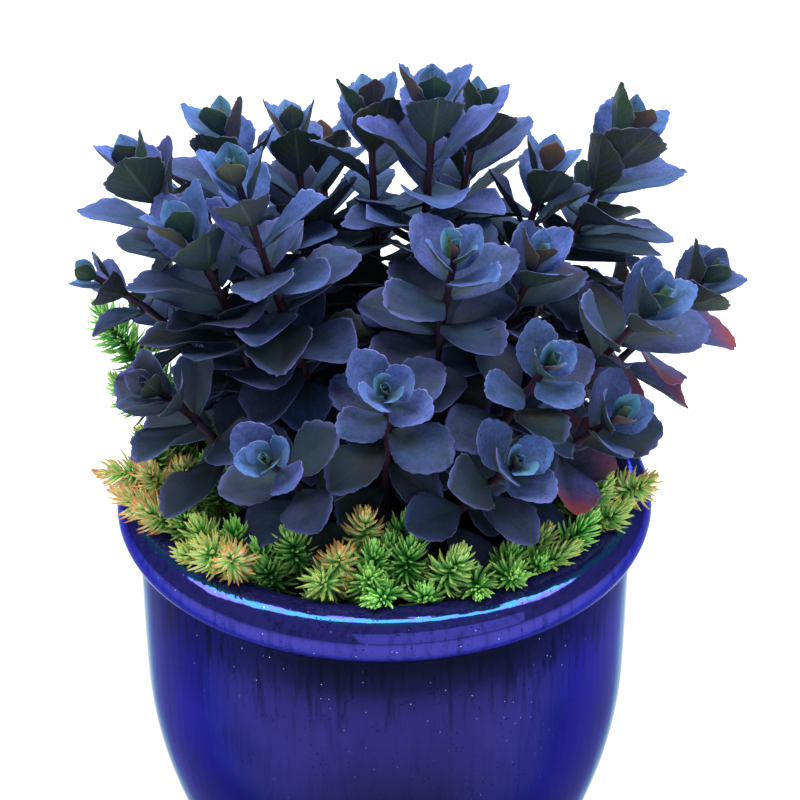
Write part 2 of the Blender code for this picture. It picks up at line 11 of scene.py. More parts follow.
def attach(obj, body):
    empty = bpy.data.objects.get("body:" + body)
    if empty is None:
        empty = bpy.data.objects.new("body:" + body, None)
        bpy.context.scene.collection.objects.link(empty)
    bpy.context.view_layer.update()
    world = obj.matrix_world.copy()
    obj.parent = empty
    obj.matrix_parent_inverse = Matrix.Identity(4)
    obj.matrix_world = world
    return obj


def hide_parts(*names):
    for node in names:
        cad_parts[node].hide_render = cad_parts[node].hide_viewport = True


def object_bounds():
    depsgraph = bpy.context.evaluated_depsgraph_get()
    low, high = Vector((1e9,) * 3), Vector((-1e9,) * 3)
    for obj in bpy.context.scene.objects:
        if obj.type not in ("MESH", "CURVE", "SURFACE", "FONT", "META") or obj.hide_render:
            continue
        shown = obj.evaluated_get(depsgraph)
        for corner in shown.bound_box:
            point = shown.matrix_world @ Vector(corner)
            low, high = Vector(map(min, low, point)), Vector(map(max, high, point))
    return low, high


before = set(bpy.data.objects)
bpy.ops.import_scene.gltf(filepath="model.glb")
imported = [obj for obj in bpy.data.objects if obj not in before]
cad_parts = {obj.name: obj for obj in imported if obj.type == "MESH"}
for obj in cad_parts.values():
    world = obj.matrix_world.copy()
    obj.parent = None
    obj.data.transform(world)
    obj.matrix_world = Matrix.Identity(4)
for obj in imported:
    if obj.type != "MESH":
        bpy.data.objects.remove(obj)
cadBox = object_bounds()

# A cobalt glazed pot with purple broad-leaved sedum and a ring of needle-leaved stonecrop.
# Metres, +Z up. The origin is the middle of the pot's flat underside, and -Y is the front.

mm = 0.001
goldenAngle = math.pi * (3 - math.sqrt(5))

# Camera: the photo's own viewing angle, taken from the ellipse of the rim
cameraLook = {
    "place": (0.0103, -0.9366, 0.8957), "aim": (0.0103, 0.0, 0.360), "lens": 74.0, "sensor": 36.0,
}

# Studio light: places, aims and sizes in metres, watts and colour
lightLook = {
    "topBox": {"place": (-0.15, 0.02, 2.30), "aim": (-0.15, 0.0, 0.0), "size": (4.4, 0.8),
               "watts": 112, "colour": "#fffaf2"},
    "backBox": {"place": (0.0, 2.30, 1.72), "aim": (0.0, 0.0, 0.32), "size": (2.6, 0.40),
                "watts": 44, "colour": "#b2e2f8"},
    "frontBox": {"place": (0.9, -2.2, 1.1), "aim": (0.0, 0.0, 0.20), "size": (3.0, 1.8),
                 "watts": 18, "colour": "#ffffff"},
}
worldLook = {"colour": "#dcf0f2", "strength": 0.26}
floorLook = {"size": 14.0, "colour": "#f6f6f6", "worn": "#fafafa", "glow": 0.32}


# Colour and node helpers

# sRGB hex to the linear values that the shaders work in
def linearColour(hexText):
    parts = [int(hexText[i:i + 2], 16) / 255 for i in (1, 3, 5)]
    return (*[p / 12.92 if p <= 0.04045 else ((p + 0.055) / 1.055) ** 2.4 for p in parts], 1.0)


# Puts a value, a hex colour or a link from another node into a socket
def fill(tree, socket, value):
    if isinstance(value, bpy.types.NodeSocket):
        tree.links.new(value, socket)
    else:
        socket.default_value = linearColour(value) if isinstance(value, str) else value


# Short names for the nodes in use: Blender's kind, the sockets that the inputs fill in order, the output
# that is handed on, and the settings
nodeKinds = {
    "place": ("TexCoord", (), "Object", {}),
    "stored": ("Attribute", (), "Color", {}),
    "channels": ("SeparateColor", (0,), 0, {}),
    "height": ("SeparateXYZ", (0,), "Z", {}),
    "scaled": ("Mapping", (0, "Scale"), 0, {}),
    "noise": ("TexNoise", ("Vector", "Scale", "Detail", "Roughness"), 0, {}),
    "spots": ("TexVoronoi", ("Vector", "Scale"), "Distance", {}),
    "ramp": ("ValToRGB", (0,), 0, {}),
    "remap": ("MapRange", range(5), 0, {}),
    "mix": ("Mix", (0, 6, 7), 2, {"data_type": "RGBA"}),
    "blend": ("Mix", (0, 2, 3), 0, {}),
    "bump": ("Bump", ("Height", "Strength", "Distance"), 0, {}),
}
for kind in ("length", "distance"):
    nodeKinds[kind] = ("VectorMath", range(2), "Value", {"operation": kind.upper()})
for kind in ("add", "multiply", "multiply_add", "maximum", "absolute", "sine", "less_than"):
    nodeKinds[kind] = ("Math", range(3), 0, {"operation": kind.upper()})


# Scale of a noise whose patches are about this many millimetres across
def noiseScale(acrossMm):
    return 1000 / acrossMm / 2


# A material with the object's own coordinates
class Surface:
    def __init__(self, name, **shaderInputs):
        self.made = bpy.data.materials.new(name)
        self.made.use_nodes = True
        self.tree = self.made.node_tree
        self.place = self.add("place")
        self.shade(**shaderInputs)

    # Adds one node. Its inputs are values, hex colours or links, and after a ramp's one input come its
    # (place, hex or grey) stops.
    def add(self, kind, *inputs, **settings):
        blenderKind, sockets, out, usual = nodeKinds[kind]
        node = self.tree.nodes.new("ShaderNode" + blenderKind)
        for name, value in {**usual, **settings}.items():
            setattr(node, name, value)
        for socket, value in zip(sockets, inputs):
            fill(self.tree, node.inputs[socket], value)
        for index, (place, colour) in enumerate(inputs[len(sockets):]):
            elements = node.color_ramp.elements
            stop = elements[index] if index < len(elements) else elements.new(place)
            stop.position = place
            stop.color = linearColour(colour) if isinstance(colour, str) else (colour, colour, colour, 1.0)
        return node.outputs[out]

    # Sets or links the shader's inputs, whose names have an underscore for each space
    def shade(self, **shaderInputs):
        shader = self.tree.nodes["Principled BSDF"]
        for name, value in shaderInputs.items():
            fill(self.tree, shader.inputs[name.replace("_", " ")], value)
        return self.made


# The plants' layout and the rule that places them, as in the solids

potShape = {
    "height": 0.310, "rollRadius": 0.017, "rollCentre": 0.163, "bellyRadius": 0.1685, "bellyHeight": 0.165,
    "curveBelow": 1.56, "curveAbove": 0.25, "wall": 0.013, "floor": 0.016, "footBevel": 0.004,
    "drainHoles": 3, "drainRadius": 0.006, "drainCircle": 0.050,
    "sides": 176, "bodySteps": 34, "neck": 0.2755, "rollArc": (-76, 180, 38), "fineRoll": 0.1621,
    "innerHeights": (0.235, 0.200, 0.165, 0.130, 0.100, 0.070, 0.045, 0.028),
    "clayFoot": 0.0025, "footRing": 0.016, "footRecess": 0.0022, "footSlope": 0.003,
}
soilShape = {"top": 0.286, "gap": 0.0004, "rootDepth": 0.010, "straightRise": 0.002,
             "rings": 38, "sides": 130, "rough": 0.0022,
             "waves": 14, "waveSpan": (60, 420), "crumbs": 450, "leastCrumb": 0.0007, "crumbSpread": 0.0016,
             "crumbLong": (0.8, 2.2), "crumbWide": (0.7, 1.2), "crumbFlat": 0.6, "crumbLean": 0.6,
             "crumbSink": 0.0016, "crumbStray": (-0.001, 0.0004), "seed": 41}

# Lists run from the bud down the stem, with one value for each pair of leaves. The jitters are the spans
# of a leaf's swing, lift, length, width, bend and cup.
shootShape = {
    "stemSides": 3, "stemSteps": 5, "stemFoot": 0.0034, "stemTip": 0.0022, "stemPull": (0.30, 0.36),
    "stagger": 0.002, "bareFoot": 0.02, "fullThickFrom": 0.03,
    "leafLengths": (0.015, 0.025, 0.038, 0.048, 0.055, 0.058, 0.058, 0.056, 0.053, 0.051, 0.049, 0.046,
                    0.043),
    "leafAngles": (0, 24, 40, 51, 61, 70, 78, 85, 90, 92, 94, 96, 98),
    "leafBends": (0, 20, 16, 6, -6, -14, -20, -24, -26, -26, -26, -26, -26),
    "leafNodes": (0.003, 0.009, 0.018, 0.031, 0.047, 0.065, 0.084, 0.104, 0.125, 0.147, 0.169, 0.191, 0.213),
    "lowPairs": 5, "sidePairs": (5, 6, 7, 8), "sideTilt": 31,
    "uprightTilt": 27, "uprightAngles": 0.82, "uprightGrowth": (0.85, 1.06, 1.10, 1.04),
    "leafWidth": 0.37, "leafCup": 0.34, "leafThick": 0.0026, "budThick": 0.0060, "leafStart": 0.0010,
    "youngEdge": ((0.20, 0.85), (0.64, 1.0)),
    "toothedEdge": ((0.24, 0.85), (0.54, 1.05), (0.80, 1.10)),
    "oldEdge": ((0.32, 1.0), (0.74, 1.06)),
    "edgeWave": 0.0011, "clearance": 0.0004,
    "jitters": ((-9, 9), (-6, 6), (0.92, 1.06), (0.90, 1.06), (-9, 9), (0.5, 1.3)),
}
# Whorls are the distances of the rings of needles back from the spray's tip
sprayShape = {
    "sides": 3, "stemSteps": 12, "foot": 0.0021, "tip": 0.0012, "leafy": 0.0016, "branchFoot": 0.0009,
    "stemPull": (0.35, 0.3), "tipRise": 0.35, "branchSteep": 0.2,
    "endNeedle": 0.0070, "needleRoot": 0.0026, "whorlTurn": 47, "whorls": (0.0125, 0.0078, 0.0052, 0.0026),
}

# Each shoot: root x, y; tip x, y, z; azimuth and tilt of the way the tip faces; leaf pairs; size of its
# leaves; twist of the first pair; how close the four innermost pairs sit. Millimetres and degrees.
shoots = (
    ((-60, -2), (-153, 0, 527), (180, 24), 9, 0.95, 8, 1.0),
    ((-90, 14), (-186, 0, 452), (185, 62), 6, 0.72, 20, 0.9),
    ((-44, 22), (-102, 32, 541), (150, 15), 8, 0.95, -14, 1.2),
    ((-20, 34), (-59, 60, 531), (120, 8), 8, 0.95, 10, 1.2),
    ((-34, -26), (-84, -62, 545), (205, 14), 9, 0.98, 0, 1.2),
    ((2, 30), (-8, 42, 551), (90, 6), 8, 0.98, 28, 1.1),
    ((10, 0), (30, 0, 571), (270, 4), 8, 1.00, 4, 1.1),
    ((30, 28), (61, 50, 548), (30, 12), 8, 0.95, 24, 1.1),
    ((46, 6), (103, 20, 520), (10, 12), 8, 0.90, 0, 1.0),
    ((66, 16), (153, 20, 543), (0, 24), 9, 1.05, 14, 1.1),
    ((18, -40), (42, -78, 501), (280, 28), 8, 0.94, 36, 0.8),
    ((44, -24), (94, -46, 486), (320, 24), 8, 0.85, 24, 0.85),
    ((0, -66), (3, -132, 441), (268, 46), 9, 0.80, 40, 0.7),
    ((48, -56), (95, -122, 454), (290, 40), 9, 0.80, 30, 0.75),
    ((74, -34), (160, -76, 470), (325, 32), 9, 1.00, 16, 0.85),
    ((94, -4), (203, -12, 458), (352, 34), 8, 0.95, 0, 1.0),
    ((-34, -76), (-66, -130, 394), (256, 50), 8, 0.80, 24, 0.65),
    ((30, -84), (77, -136, 396), (285, 46), 8, 0.86, 44, 0.7),
    ((-66, -32), (-118, -40, 500), (195, 26), 10, 1.05, 34, 1.0),
    ((-82, -50), (-138, -80, 414), (212, 48), 8, 0.92, 50, 0.8),
    ((84, -48), (140, -96, 404), (318, 46), 7, 0.90, 10, 0.8),
    ((-66, 48), (-132, 92, 478), (145, 30), 8, 1.00, 12, 1.0),
    ((-26, 70), (-46, 122, 488), (112, 24), 7, 1.05, 30, 1.0),
    ((28, 66), (52, 118, 492), (66, 24), 7, 1.05, 0, 1.0),
    ((74, 44), (142, 86, 474), (30, 30), 8, 1.00, 34, 1.0),
    ((-90, 46), (-158, 88, 398), (150, 50), 7, 0.98, 10, 0.9),
    ((-36, 94), (-58, 166, 398), (110, 50), 7, 1.00, 26, 0.9),
    ((34, 94), (58, 166, 396), (70, 50), 7, 1.00, 0, 0.9),
    ((94, 46), (166, 92, 396), (30, 50), 7, 0.98, 14, 0.9),
)

# Each tuft of stonecrop: root x, y, and then the x, y, z of the tip of each of its sprays, in millimetres
tufts = (
    ((-134, -14), ((-182, -26, 320), (-155, -24, 346))),
    ((-128, -38), ((-150, -56, 342), (-127, -59, 346))),
    ((-122, -60), ((-166, -62, 326), (-128, -67, 330))),
    ((-116, -76), ((-150, -80, 329), (-124, -86, 330))),
    ((-100, -64), ((-106, -58, 347),)),
    ((-102, -94), ((-113, -106, 333),)),
    ((-88, -106), ((-107, -130, 334), (-90, -138, 334))),
    ((-66, -112), ((-72, -121, 314),)),
    ((-50, -106), ((-57, -112, 331),)),
    ((-30, -116), ((-25, -138, 334), (-37, -150, 324))),
    ((-12, -102), ((-10, -118, 346),)),
    ((-8, -120), ((-5, -130, 331), (-8, -146, 324))),
    ((10, -122), ((17, -129, 334), (-4, -158, 316))),
    ((28, -130), ((46, -143, 336),)),
    ((54, -116), ((57, -150, 314),)),
    ((72, -108), ((78, -115, 320), (79, -139, 320))),
    ((98, -90), ((114, -108, 316), (127, -90, 325))),
    ((118, -64), ((131, -60, 337), (150, -75, 324))),
    ((132, -28), ((168, -58, 334), (142, -16, 318))),
    ((-134, 26), ((-162, 26, 318),)),
    ((-126, 50), ((-190, 44, 404), (-150, 74, 318))),
    ((-108, 80), ((-132, 104, 322), (-108, 112, 316))),
    ((-72, 114), ((-86, 142, 320), (-62, 140, 318))),
    ((-28, 132), ((-38, 158, 322),)),
    ((12, 134), ((6, 162, 318), (28, 154, 320))),
    ((54, 122), ((64, 150, 322),)),
    ((90, 100), ((104, 126, 320), (82, 136, 316))),
    ((118, 66), ((142, 88, 320), (134, 58, 316))),
    ((134, 22), ((166, 32, 322), (148, 4, 318))),
)

# How a leaf gives way to its neighbours: swing round the stem, lift off it (degrees), share of its size
leafTries = (
    (0, 0, 1.0), (0, -12, 1.0), (0, 12, 1.0), (14, 0, 1.0), (-14, 0, 1.0), (14, -14, 0.95),
    (-14, -14, 0.95), (14, 14, 0.95), (-14, 14, 0.95), (0, -24, 0.95), (0, 24, 0.95),
    (28, 0, 0.9), (-28, 0, 0.9), (26, -20, 0.85), (-26, -20, 0.85), (26, 20, 0.85),
    (-26, 20, 0.85), (0, 0, 0.75), (0, -20, 0.75), (0, 20, 0.75), (32, 0, 0.7), (-32, 0, 0.7),
    (0, 0, 0.55), (30, -24, 0.55), (-30, -24, 0.55), (0, 30, 0.5), (0, -34, 0.5),
)
stemTries = [(lift, sway) for lift in range(0, 28, 3) for sway in (0, 5, -5, 10, -10, 15, -15)]


# Outer radius of the pot below its roll
def bodyRadius(z):
    curve = potShape["curveBelow"] if z < potShape["bellyHeight"] else potShape["curveAbove"]
    return potShape["bellyRadius"] - curve * (z - potShape["bellyHeight"]) ** 2


# Points along the cubic curve of four control points
def curveLine(a, b, c, d, steps):
    found = []
    for i in range(steps + 1):
        t = i / steps
        s = 1 - t
        found.append(a * s**3 + b * (3 * s * s * t) + c * (3 * s * t * t) + d * t**3)
    return found


def lengthOf(line):
    return sum((b - a).length for a, b in zip(line, line[1:]))


# Point and forward direction on a polyline, a distance back from its last point
def atDistance(line, distance):
    for a, b in zip(reversed(line[:-1]), reversed(line[1:])):
        step = (b - a).length
        if distance <= step:
            return b + (a - b) * (distance / step), (b - a).normalized()
        distance -= step
    return line[0].copy(), (line[1] - line[0]).normalized()


# Unit vector square to a direction, on the side of an azimuth given in radians
def across(direction, angle):
    side = Vector((math.cos(angle), math.sin(angle), 0))
    return (side - direction * side.dot(direction)).normalized()


# Faces between rings of points that follow one another
def bandFaces(rings, sides):
    faces = []
    for row in range(0, (rings - 1) * sides, sides):
        for k in range(sides):
            n = (k + 1) % sides
            faces.append((row + k, row + n, row + sides + n, row + sides + k))
    return faces


# Points and faces of a closed tube along a line, with a radius and a turn in degrees at each point
def tube(line, radii, sides, turns=None):
    points = []
    turns = turns or [0] * len(line)
    for i, (centre, radius) in enumerate(zip(line, radii)):
        ahead = (line[min(i + 1, len(line) - 1)] - line[max(i - 1, 0)]).normalized()
        u = across(ahead, 0.0)
        v = ahead.cross(u)
        for k in range(sides):
            a = math.tau * k / sides + math.radians(turns[i])
            points.append(centre + (u * math.cos(a) + v * math.sin(a)) * radius)
    caps = [tuple(reversed(range(sides))), tuple(range((len(line) - 1) * sides, len(line) * sides))]
    return points, bandFaces(len(line), sides) + caps


# A stem's line with a straight root let into the soil below its start
def rooted(line):
    start = line[0]
    low, high = (Vector((0, 0, soilShape[key])) for key in ("rootDepth", "straightRise"))
    return [start - low, start + high] + line[1:]


def shootLine(root, tip, facing):
    azimuth, tilt = (math.radians(a) for a in facing)
    start = Vector((root[0] * mm, root[1] * mm, soilShape["top"]))
    end = Vector(tip) * mm
    aim = Vector((math.cos(azimuth) * math.sin(tilt), math.sin(azimuth) * math.sin(tilt), math.cos(tilt)))
    reach = (end - start).length
    first, last = shootShape["stemPull"]
    middle = (start + Vector((0, 0, reach * first)), end - aim * reach * last)
    return curveLine(start, *middle, end, shootShape["stemSteps"])


# The line of a spray's stem, which starts off straight up where steep is 1 and at its tip where it is 0
def sprayLine(start, tip, steep, lift=0.0, sway=0.0):
    end = Vector(tip) * mm
    reach = (end - start).length
    ahead = (end - start).normalized()
    first = (ahead * (1 - steep) + Vector((0, 0, steep))).normalized()
    last = (ahead + Vector((0, 0, sprayShape["tipRise"]))).normalized()
    near, far = sprayShape["stemPull"]
    bent = Vector((0, 0, lift)) + across(Vector((0, 0, 1)), math.atan2(ahead.x, -ahead.y)) * sway
    middle = (start + first * reach * near + bent, end - last * reach * far + bent)
    return curveLine(start, *middle, end, sprayShape["stemSteps"])


# Outline of an obovate leaf: half its width at shares of its length, 1 at the widest
def leafOutline(shares):
    return np.where(shares < 1, np.sin(np.pi * np.clip(shares, 0, 1) ** 1.3).clip(0) ** 0.7, 0.0)


# Points of a leaf for arrays of the share along it, and of the distance in metres to the side of its middle
# line and above its middle surface
def leafPoints(leaf, share, side, height):
    bend = leaf["bend"] * share
    if abs(leaf["bend"]) > 1e-4:
        run, rise = np.sin(bend) / leaf["bend"], (1 - np.cos(bend)) / leaf["bend"]
    else:
        run, rise = share, np.zeros_like(share)
    out, face, across = (np.array(leaf[key]) for key in ("out", "face", "side"))
    over = face * np.cos(bend)[..., None] - out * np.sin(bend)[..., None]
    lift = height + leaf["cup"] * side * side / leaf["width"]
    middle = (out * run[..., None] + face * rise[..., None]) * leaf["length"]
    return np.array(leaf["base"]) + middle + across * side[..., None] + over * lift[..., None]


# The plain solid of one blade, which says what room the leaf takes
def leafSolid(leaf, edge, margin=0.0):
    count = len(edge)
    thick = leaf["thick"] + margin
    wave = shootShape["edgeWave"] * leaf["length"] / 0.045 if count > 2 else 0.0
    places = [(0.0, 0.0, 0.0)]
    for sign in (1, -1):
        for i, (share, tooth) in enumerate(edge):
            side = leaf["width"] * leafOutline(share) * tooth + margin
            places.append((share, sign * side, wave * (-1) ** i * sign))
        if sign == 1:
            places.append((1.0 + margin / leaf["length"], 0.0, 0.0))
    places += [(0.52, 0.0, -thick), (0.52, 0.0, thick)]
    points = [Vector(p) for p in leafPoints(leaf, *np.array(places, float).T)]
    right = [0, *range(1, count + 2)]
    left = [0, *range(count + 2, 2 * count + 2), count + 1]
    faces = []
    for rim, turnedOver in ((right, False), (left, True)):
        for below in (True, False):
            ridge = 2 * count + 2 + (0 if below else 1)
            found = [(rim[i], rim[i + 1], ridge) for i in range(len(rim) - 1)]
            faces += [tuple(reversed(f)) for f in found] if turnedOver == below else found
    return points, faces


def edgeOf(pair):
    return shootShape["youngEdge" if pair < 2 else "toothedEdge" if pair < 4 else "oldEdge"]


# The frame and shape of one leaf, with the way that it gives to its neighbours
def leafAt(line, shoot, pair, opposite, tweak, jitter, between=0.0):
    swing, lift, share = tweak
    size, twist = shoot[4], shoot[5]
    upright = shoot[2][1] < shootShape["uprightTilt"]
    nodes = shootShape["leafNodes"]
    rosette = nodes[min(pair, 3)]
    distance = rosette * shoot[6] + nodes[pair] - rosette
    if between:
        distance += (nodes[pair + 1] - nodes[pair]) * between
    base, up = atDistance(line, distance + shootShape["stagger"] * opposite * (pair > 1))
    turn = math.radians(twist + 90 * (pair + between) + 180 * opposite + swing + jitter[0])
    away = across(up, turn)
    spread = shootShape["uprightAngles"] if upright else 1.0
    angle = math.radians(shootShape["leafAngles"][pair] * spread + lift + jitter[1])
    growth = shootShape["uprightGrowth"][min(pair, 3)] if upright else 1.0
    length = shootShape["leafLengths"][pair] * size * share * jitter[2] * growth
    out = up * math.cos(angle) + away * math.sin(angle)
    thick = shootShape["leafThick"] * min(1.0, length / shootShape["fullThickFrom"])
    if not pair:
        thick = shootShape["budThick"] * size
    return {
        "base": base + out * shootShape["leafStart"],
        "out": out,
        "face": up * math.sin(angle) - away * math.cos(angle),
        "side": up.cross(away),
        "length": length,
        "width": length * shootShape["leafWidth"] * jitter[3],
        "bend": math.radians(shootShape["leafBends"][pair] + jitter[4]),
        "thick": thick / 2,
        "cup": shootShape["leafCup"] * jitter[5],
        "pair": pair,
        "distance": distance,
    }


# True if a point comes too near the pot's roll or the soil
def inPotOrSoil(points, room=0.0):
    rollZ = potShape["height"] - potShape["rollRadius"]
    centre, radius = potShape["rollCentre"], potShape["rollRadius"]
    room += shootShape["clearance"] * 3
    for p in points:
        r = math.hypot(p.x, p.y)
        if math.hypot(r - centre, p.z - rollZ) < radius + room:
            return True
        if p.z < rollZ and centre - radius - room < r < centre + radius + room:
            return True
        if p.z < soilShape["top"] + room and r < centre:
            return True
    return False


def ballRound(points):
    middle = sum(points, Vector()) / len(points)
    return middle, max((p - middle).length for p in points)


def treeOf(solid):
    return BVHTree.FromPolygons(*solid) if solid else None


# Takes room for a solid. Its outer part is what its own node's other pieces also keep clear of.
def takeRoom(taken, node, solid, outer=None):
    taken.append((node, *ballRound(solid[0]), treeOf(solid), treeOf(outer)))


def roomFor(taken, node, solid, outer=None):
    middle, reach = ballRound(solid[0])
    tree, own = treeOf(solid), treeOf(outer)
    for name, centre, radius, held, inner in taken:
        if (centre - middle).length > radius + reach:
            continue
        if name != node and tree.overlap(held):
            return False
        if name == node and own and inner and own.overlap(inner):
            return False
    return True


# Places the stem of every leafy shoot, with the small differences between its leaves
def planShoots(taken):
    plans = []
    for index, shoot in enumerate(shoots):
        name = f"sedum_shoot_{index + 1:02d}"
        line = shootLine(*shoot[:3])
        core = rooted(line)
        foot, tip = shootShape["stemFoot"], shootShape["stemTip"]
        radii = [foot + (tip - foot) * max(0, i - 1) / (len(core) - 2) for i in range(len(core))]
        takeRoom(taken, name, tube(core, radii, shootShape["stemSides"]))
        draw = random.Random(name)
        jitters = {(pair, opposite): [draw.uniform(*span) for span in shootShape["jitters"]]
                   for pair in range(len(shootShape["leafLengths"])) for opposite in (0, 1)}
        reach = lengthOf(line)
        most = sum(1 for node in shootShape["leafNodes"] if node < reach - shootShape["bareFoot"])
        pairs = (shoot[3], max(shoot[3], min(shoot[3] + shootShape["lowPairs"], most)))
        plans.append({"name": name, "shoot": shoot, "line": line, "jitters": jitters, "pairs": pairs,
                      "leaves": []})
    return plans


# Places the bud of every shoot, and then its leaves pair by pair down the stem, so that none cross. The
# leaves of the solids come first, then plainer ones lower down, and at last some between the pairs.
def growLeaves(plans, taken):
    for low in (False, True):
        for pair in range(len(shootShape["leafLengths"])):
            for plan in plans:
                solids, whole = plan["pairs"]
                if (solids <= pair < whole) if low else pair < solids:
                    for opposite in (0, 1) if pair else (0,):
                        placeLeaf(plan, pair, opposite, taken, low)
    for pair in shootShape["sidePairs"]:
        for plan in plans:
            if pair + 1 < plan["pairs"][1] and plan["shoot"][2][1] < shootShape["sideTilt"]:
                for opposite in (0, 1):
                    placeLeaf(plan, pair, opposite, taken, True, 0.5)


def placeLeaf(plan, pair, opposite, taken, low, between=0.0):
    edge, jitter = edgeOf(pair), plan["jitters"][pair, opposite]
    for tweak in leafTries:
        leaf = leafAt(plan["line"], plan["shoot"], pair, opposite, tweak, jitter, between)
        leaf["low"] = low
        roomy, faces = leafSolid(leaf, edge, shootShape["clearance"])
        nearBase = {0, 1, len(edge) + 2}
        outer = [f for f in faces if not nearBase & set(f)]
        if inPotOrSoil(roomy) or not roomFor(taken, plan["name"], (roomy, faces), (roomy, outer)):
            continue
        points, faces = leafSolid(leaf, edge)
        takeRoom(taken, plan["name"], (points, faces), (points, outer))
        plan["leaves"].append(leaf)
        return


# Places the stems of every tuft
def planTufts(taken):
    plans = []
    for index, (root, tips) in enumerate(tufts):
        plan = {"name": f"stonecrop_tuft_{index + 1:02d}", "sprays": []}
        plan["foot"] = Vector((root[0] * mm, root[1] * mm, soilShape["top"]))
        for order, tip in enumerate(tips):
            plan["sprays"].append(freeStem(plan, order, tip, taken))
        plans.append(plan)
    return plans


# The stem of a tuft's next spray, bent up or aside until it is clear of the pot and every other node
def freeStem(plan, order, tip, taken):
    for lift, sway in stemTries:
        if order:
            core = plan["sprays"][0]["core"]
            line = sprayLine((core[1] + core[2]) / 2, tip, sprayShape["branchSteep"], lift * mm, sway * mm)
        else:
            line = sprayLine(plan["foot"], tip, 1.0, lift * mm, sway * mm)
        spray = sprayStem(line, order)
        free = roomFor(taken, plan["name"], spray["solid"]) and roomFor(taken, plan["name"], spray["end"])
        if free and not inPotOrSoil(line[4:], sprayShape["foot"]):
            break
    takeRoom(taken, plan["name"], spray["solid"])
    takeRoom(taken, plan["name"], spray["end"])
    return spray


# A spray's stem, with a ring at both ends of every whorl of needles
def sprayStem(line, order):
    reach = lengthOf(line)
    core = [line[0]] if order else rooted(line)[:2]
    radii = [sprayShape["branchFoot" if order else "foot"]] * (len(core) + 1)
    core.append(atDistance(line, (reach + sprayShape["whorls"][0]) / 2)[0])
    turns = [0] * len(core)
    below = reach
    for lower in sprayShape["whorls"]:
        if lower < below - 1e-5:
            core.append(atDistance(line, lower)[0])
            turns.append(turns[-1])
        below = lower - sprayShape["needleRoot"]
        core.append(atDistance(line, below)[0])
        turns.append(turns[-1] + sprayShape["whorlTurn"])
    radii += [sprayShape["leafy"]] * (len(core) - len(radii) - 1) + [sprayShape["tip"]]
    points, faces = tube(core, radii, sprayShape["sides"], turns)
    tip = core[-1] + (core[-1] - core[-2]).normalized() * sprayShape["endNeedle"]
    end = [*points[-sprayShape["sides"]:], tip], [(0, 1, 3), (1, 2, 3), (2, 0, 3), (2, 1, 0)]
    return {"line": line, "core": core, "solid": (points, faces), "end": end, "order": order}


# Mesh gathering: points, faces, and a few numbers at each point for the materials' patterns

class Gathered:
    def __init__(self, *maps):
        self.points, self.faces, self.slots, self.count = [], [], [], 0
        self.maps = {name: [] for name in maps}

    def add(self, points, faces, slot=0, **values):
        points = np.asarray(points, float).reshape(-1, 3)
        self.points.append(points)
        self.faces += [tuple(i + self.count for i in face) for face in faces]
        self.slots += [slot] * len(faces)
        self.count += len(points)
        for name, rows in self.maps.items():
            given = np.broadcast_to(np.asarray(values.get(name, (0, 0, 0)), float), (len(points), 3))
            rows.append(np.column_stack([given, np.ones(len(points))]))

    def mesh(self, name):
        made = bpy.data.meshes.new(name)
        low, high = (np.array(corner) for corner in cadBox)
        made.from_pydata(np.clip(np.concatenate(self.points), low, high).tolist(), [], self.faces)
        made.polygons.foreach_set("material_index", np.array(self.slots, np.int32))
        for mapName, rows in self.maps.items():
            layer = made.attributes.new(mapName, "FLOAT_COLOR", "POINT")
            layer.data.foreach_set("color", np.concatenate(rows).astype(np.float32).ravel())
        made.shade_smooth()
        return made


# Puts a mesh in the scene as a piece that rides on the frame and stands for its CAD node
def makePiece(name, mesh, materials, node=None):
    for finish in materials:
        mesh.materials.append(finish)
    piece = bpy.data.objects.new(name, mesh)
    bpy.context.scene.collection.objects.link(piece)
    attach(piece, "root")
    if node:
        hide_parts(node)
    return piece


# Cobalt glaze on stoneware: dipped, so it breaks thin and runs in dark streaks under the roll, and fires
# to a deep glassy coat. The eye sees a saturated blue with black pin marks and sky-coloured glints, with
# painted shade on the belly's front and in the crease under the roll, painted light on the roll and a
# painted highlight line over its crest.
glazeLook = {
    "blue": "#363084", "deep": "#14163a", "rollBlue": "#3a3894", "crestHighlightBlue": "#1f5286", "streakAndShade": "#0a0e1c",
    "pinMark": "#080a18", "bubble": "#a9c4f0", "clay": "#a8794f", "tint": "#5c8cc0",
    "roughness": 0.07, "metallic": 0.76, "specular": 0.05,
    "streakWidthMm": 2.2, "streakLengthMm": 22.0, "pinMarkMm": 3.2, "bubbleMm": 7.0,
    "frontShadeAt": (0.01, -0.17, 0.13), "frontShadeReach": 0.17, "creaseAt": (0.02, -0.17, 0.26), "creaseReach": 0.20,
    "rollHeights": (0.280, 0.296), "crestHeights": (0.300, 0.302), "crestInside": (0.1700, 0.1710),
    "crestOutside": (0.1735, 0.1745), "crestTorn": 0.005, "streakHeights": (0.205, 0.280),
    "rollStreakHeights": (0.276, 0.288), "creaseHeights": (0.215, 0.290), "bubbleHeights": (0.200, 0.280),
}


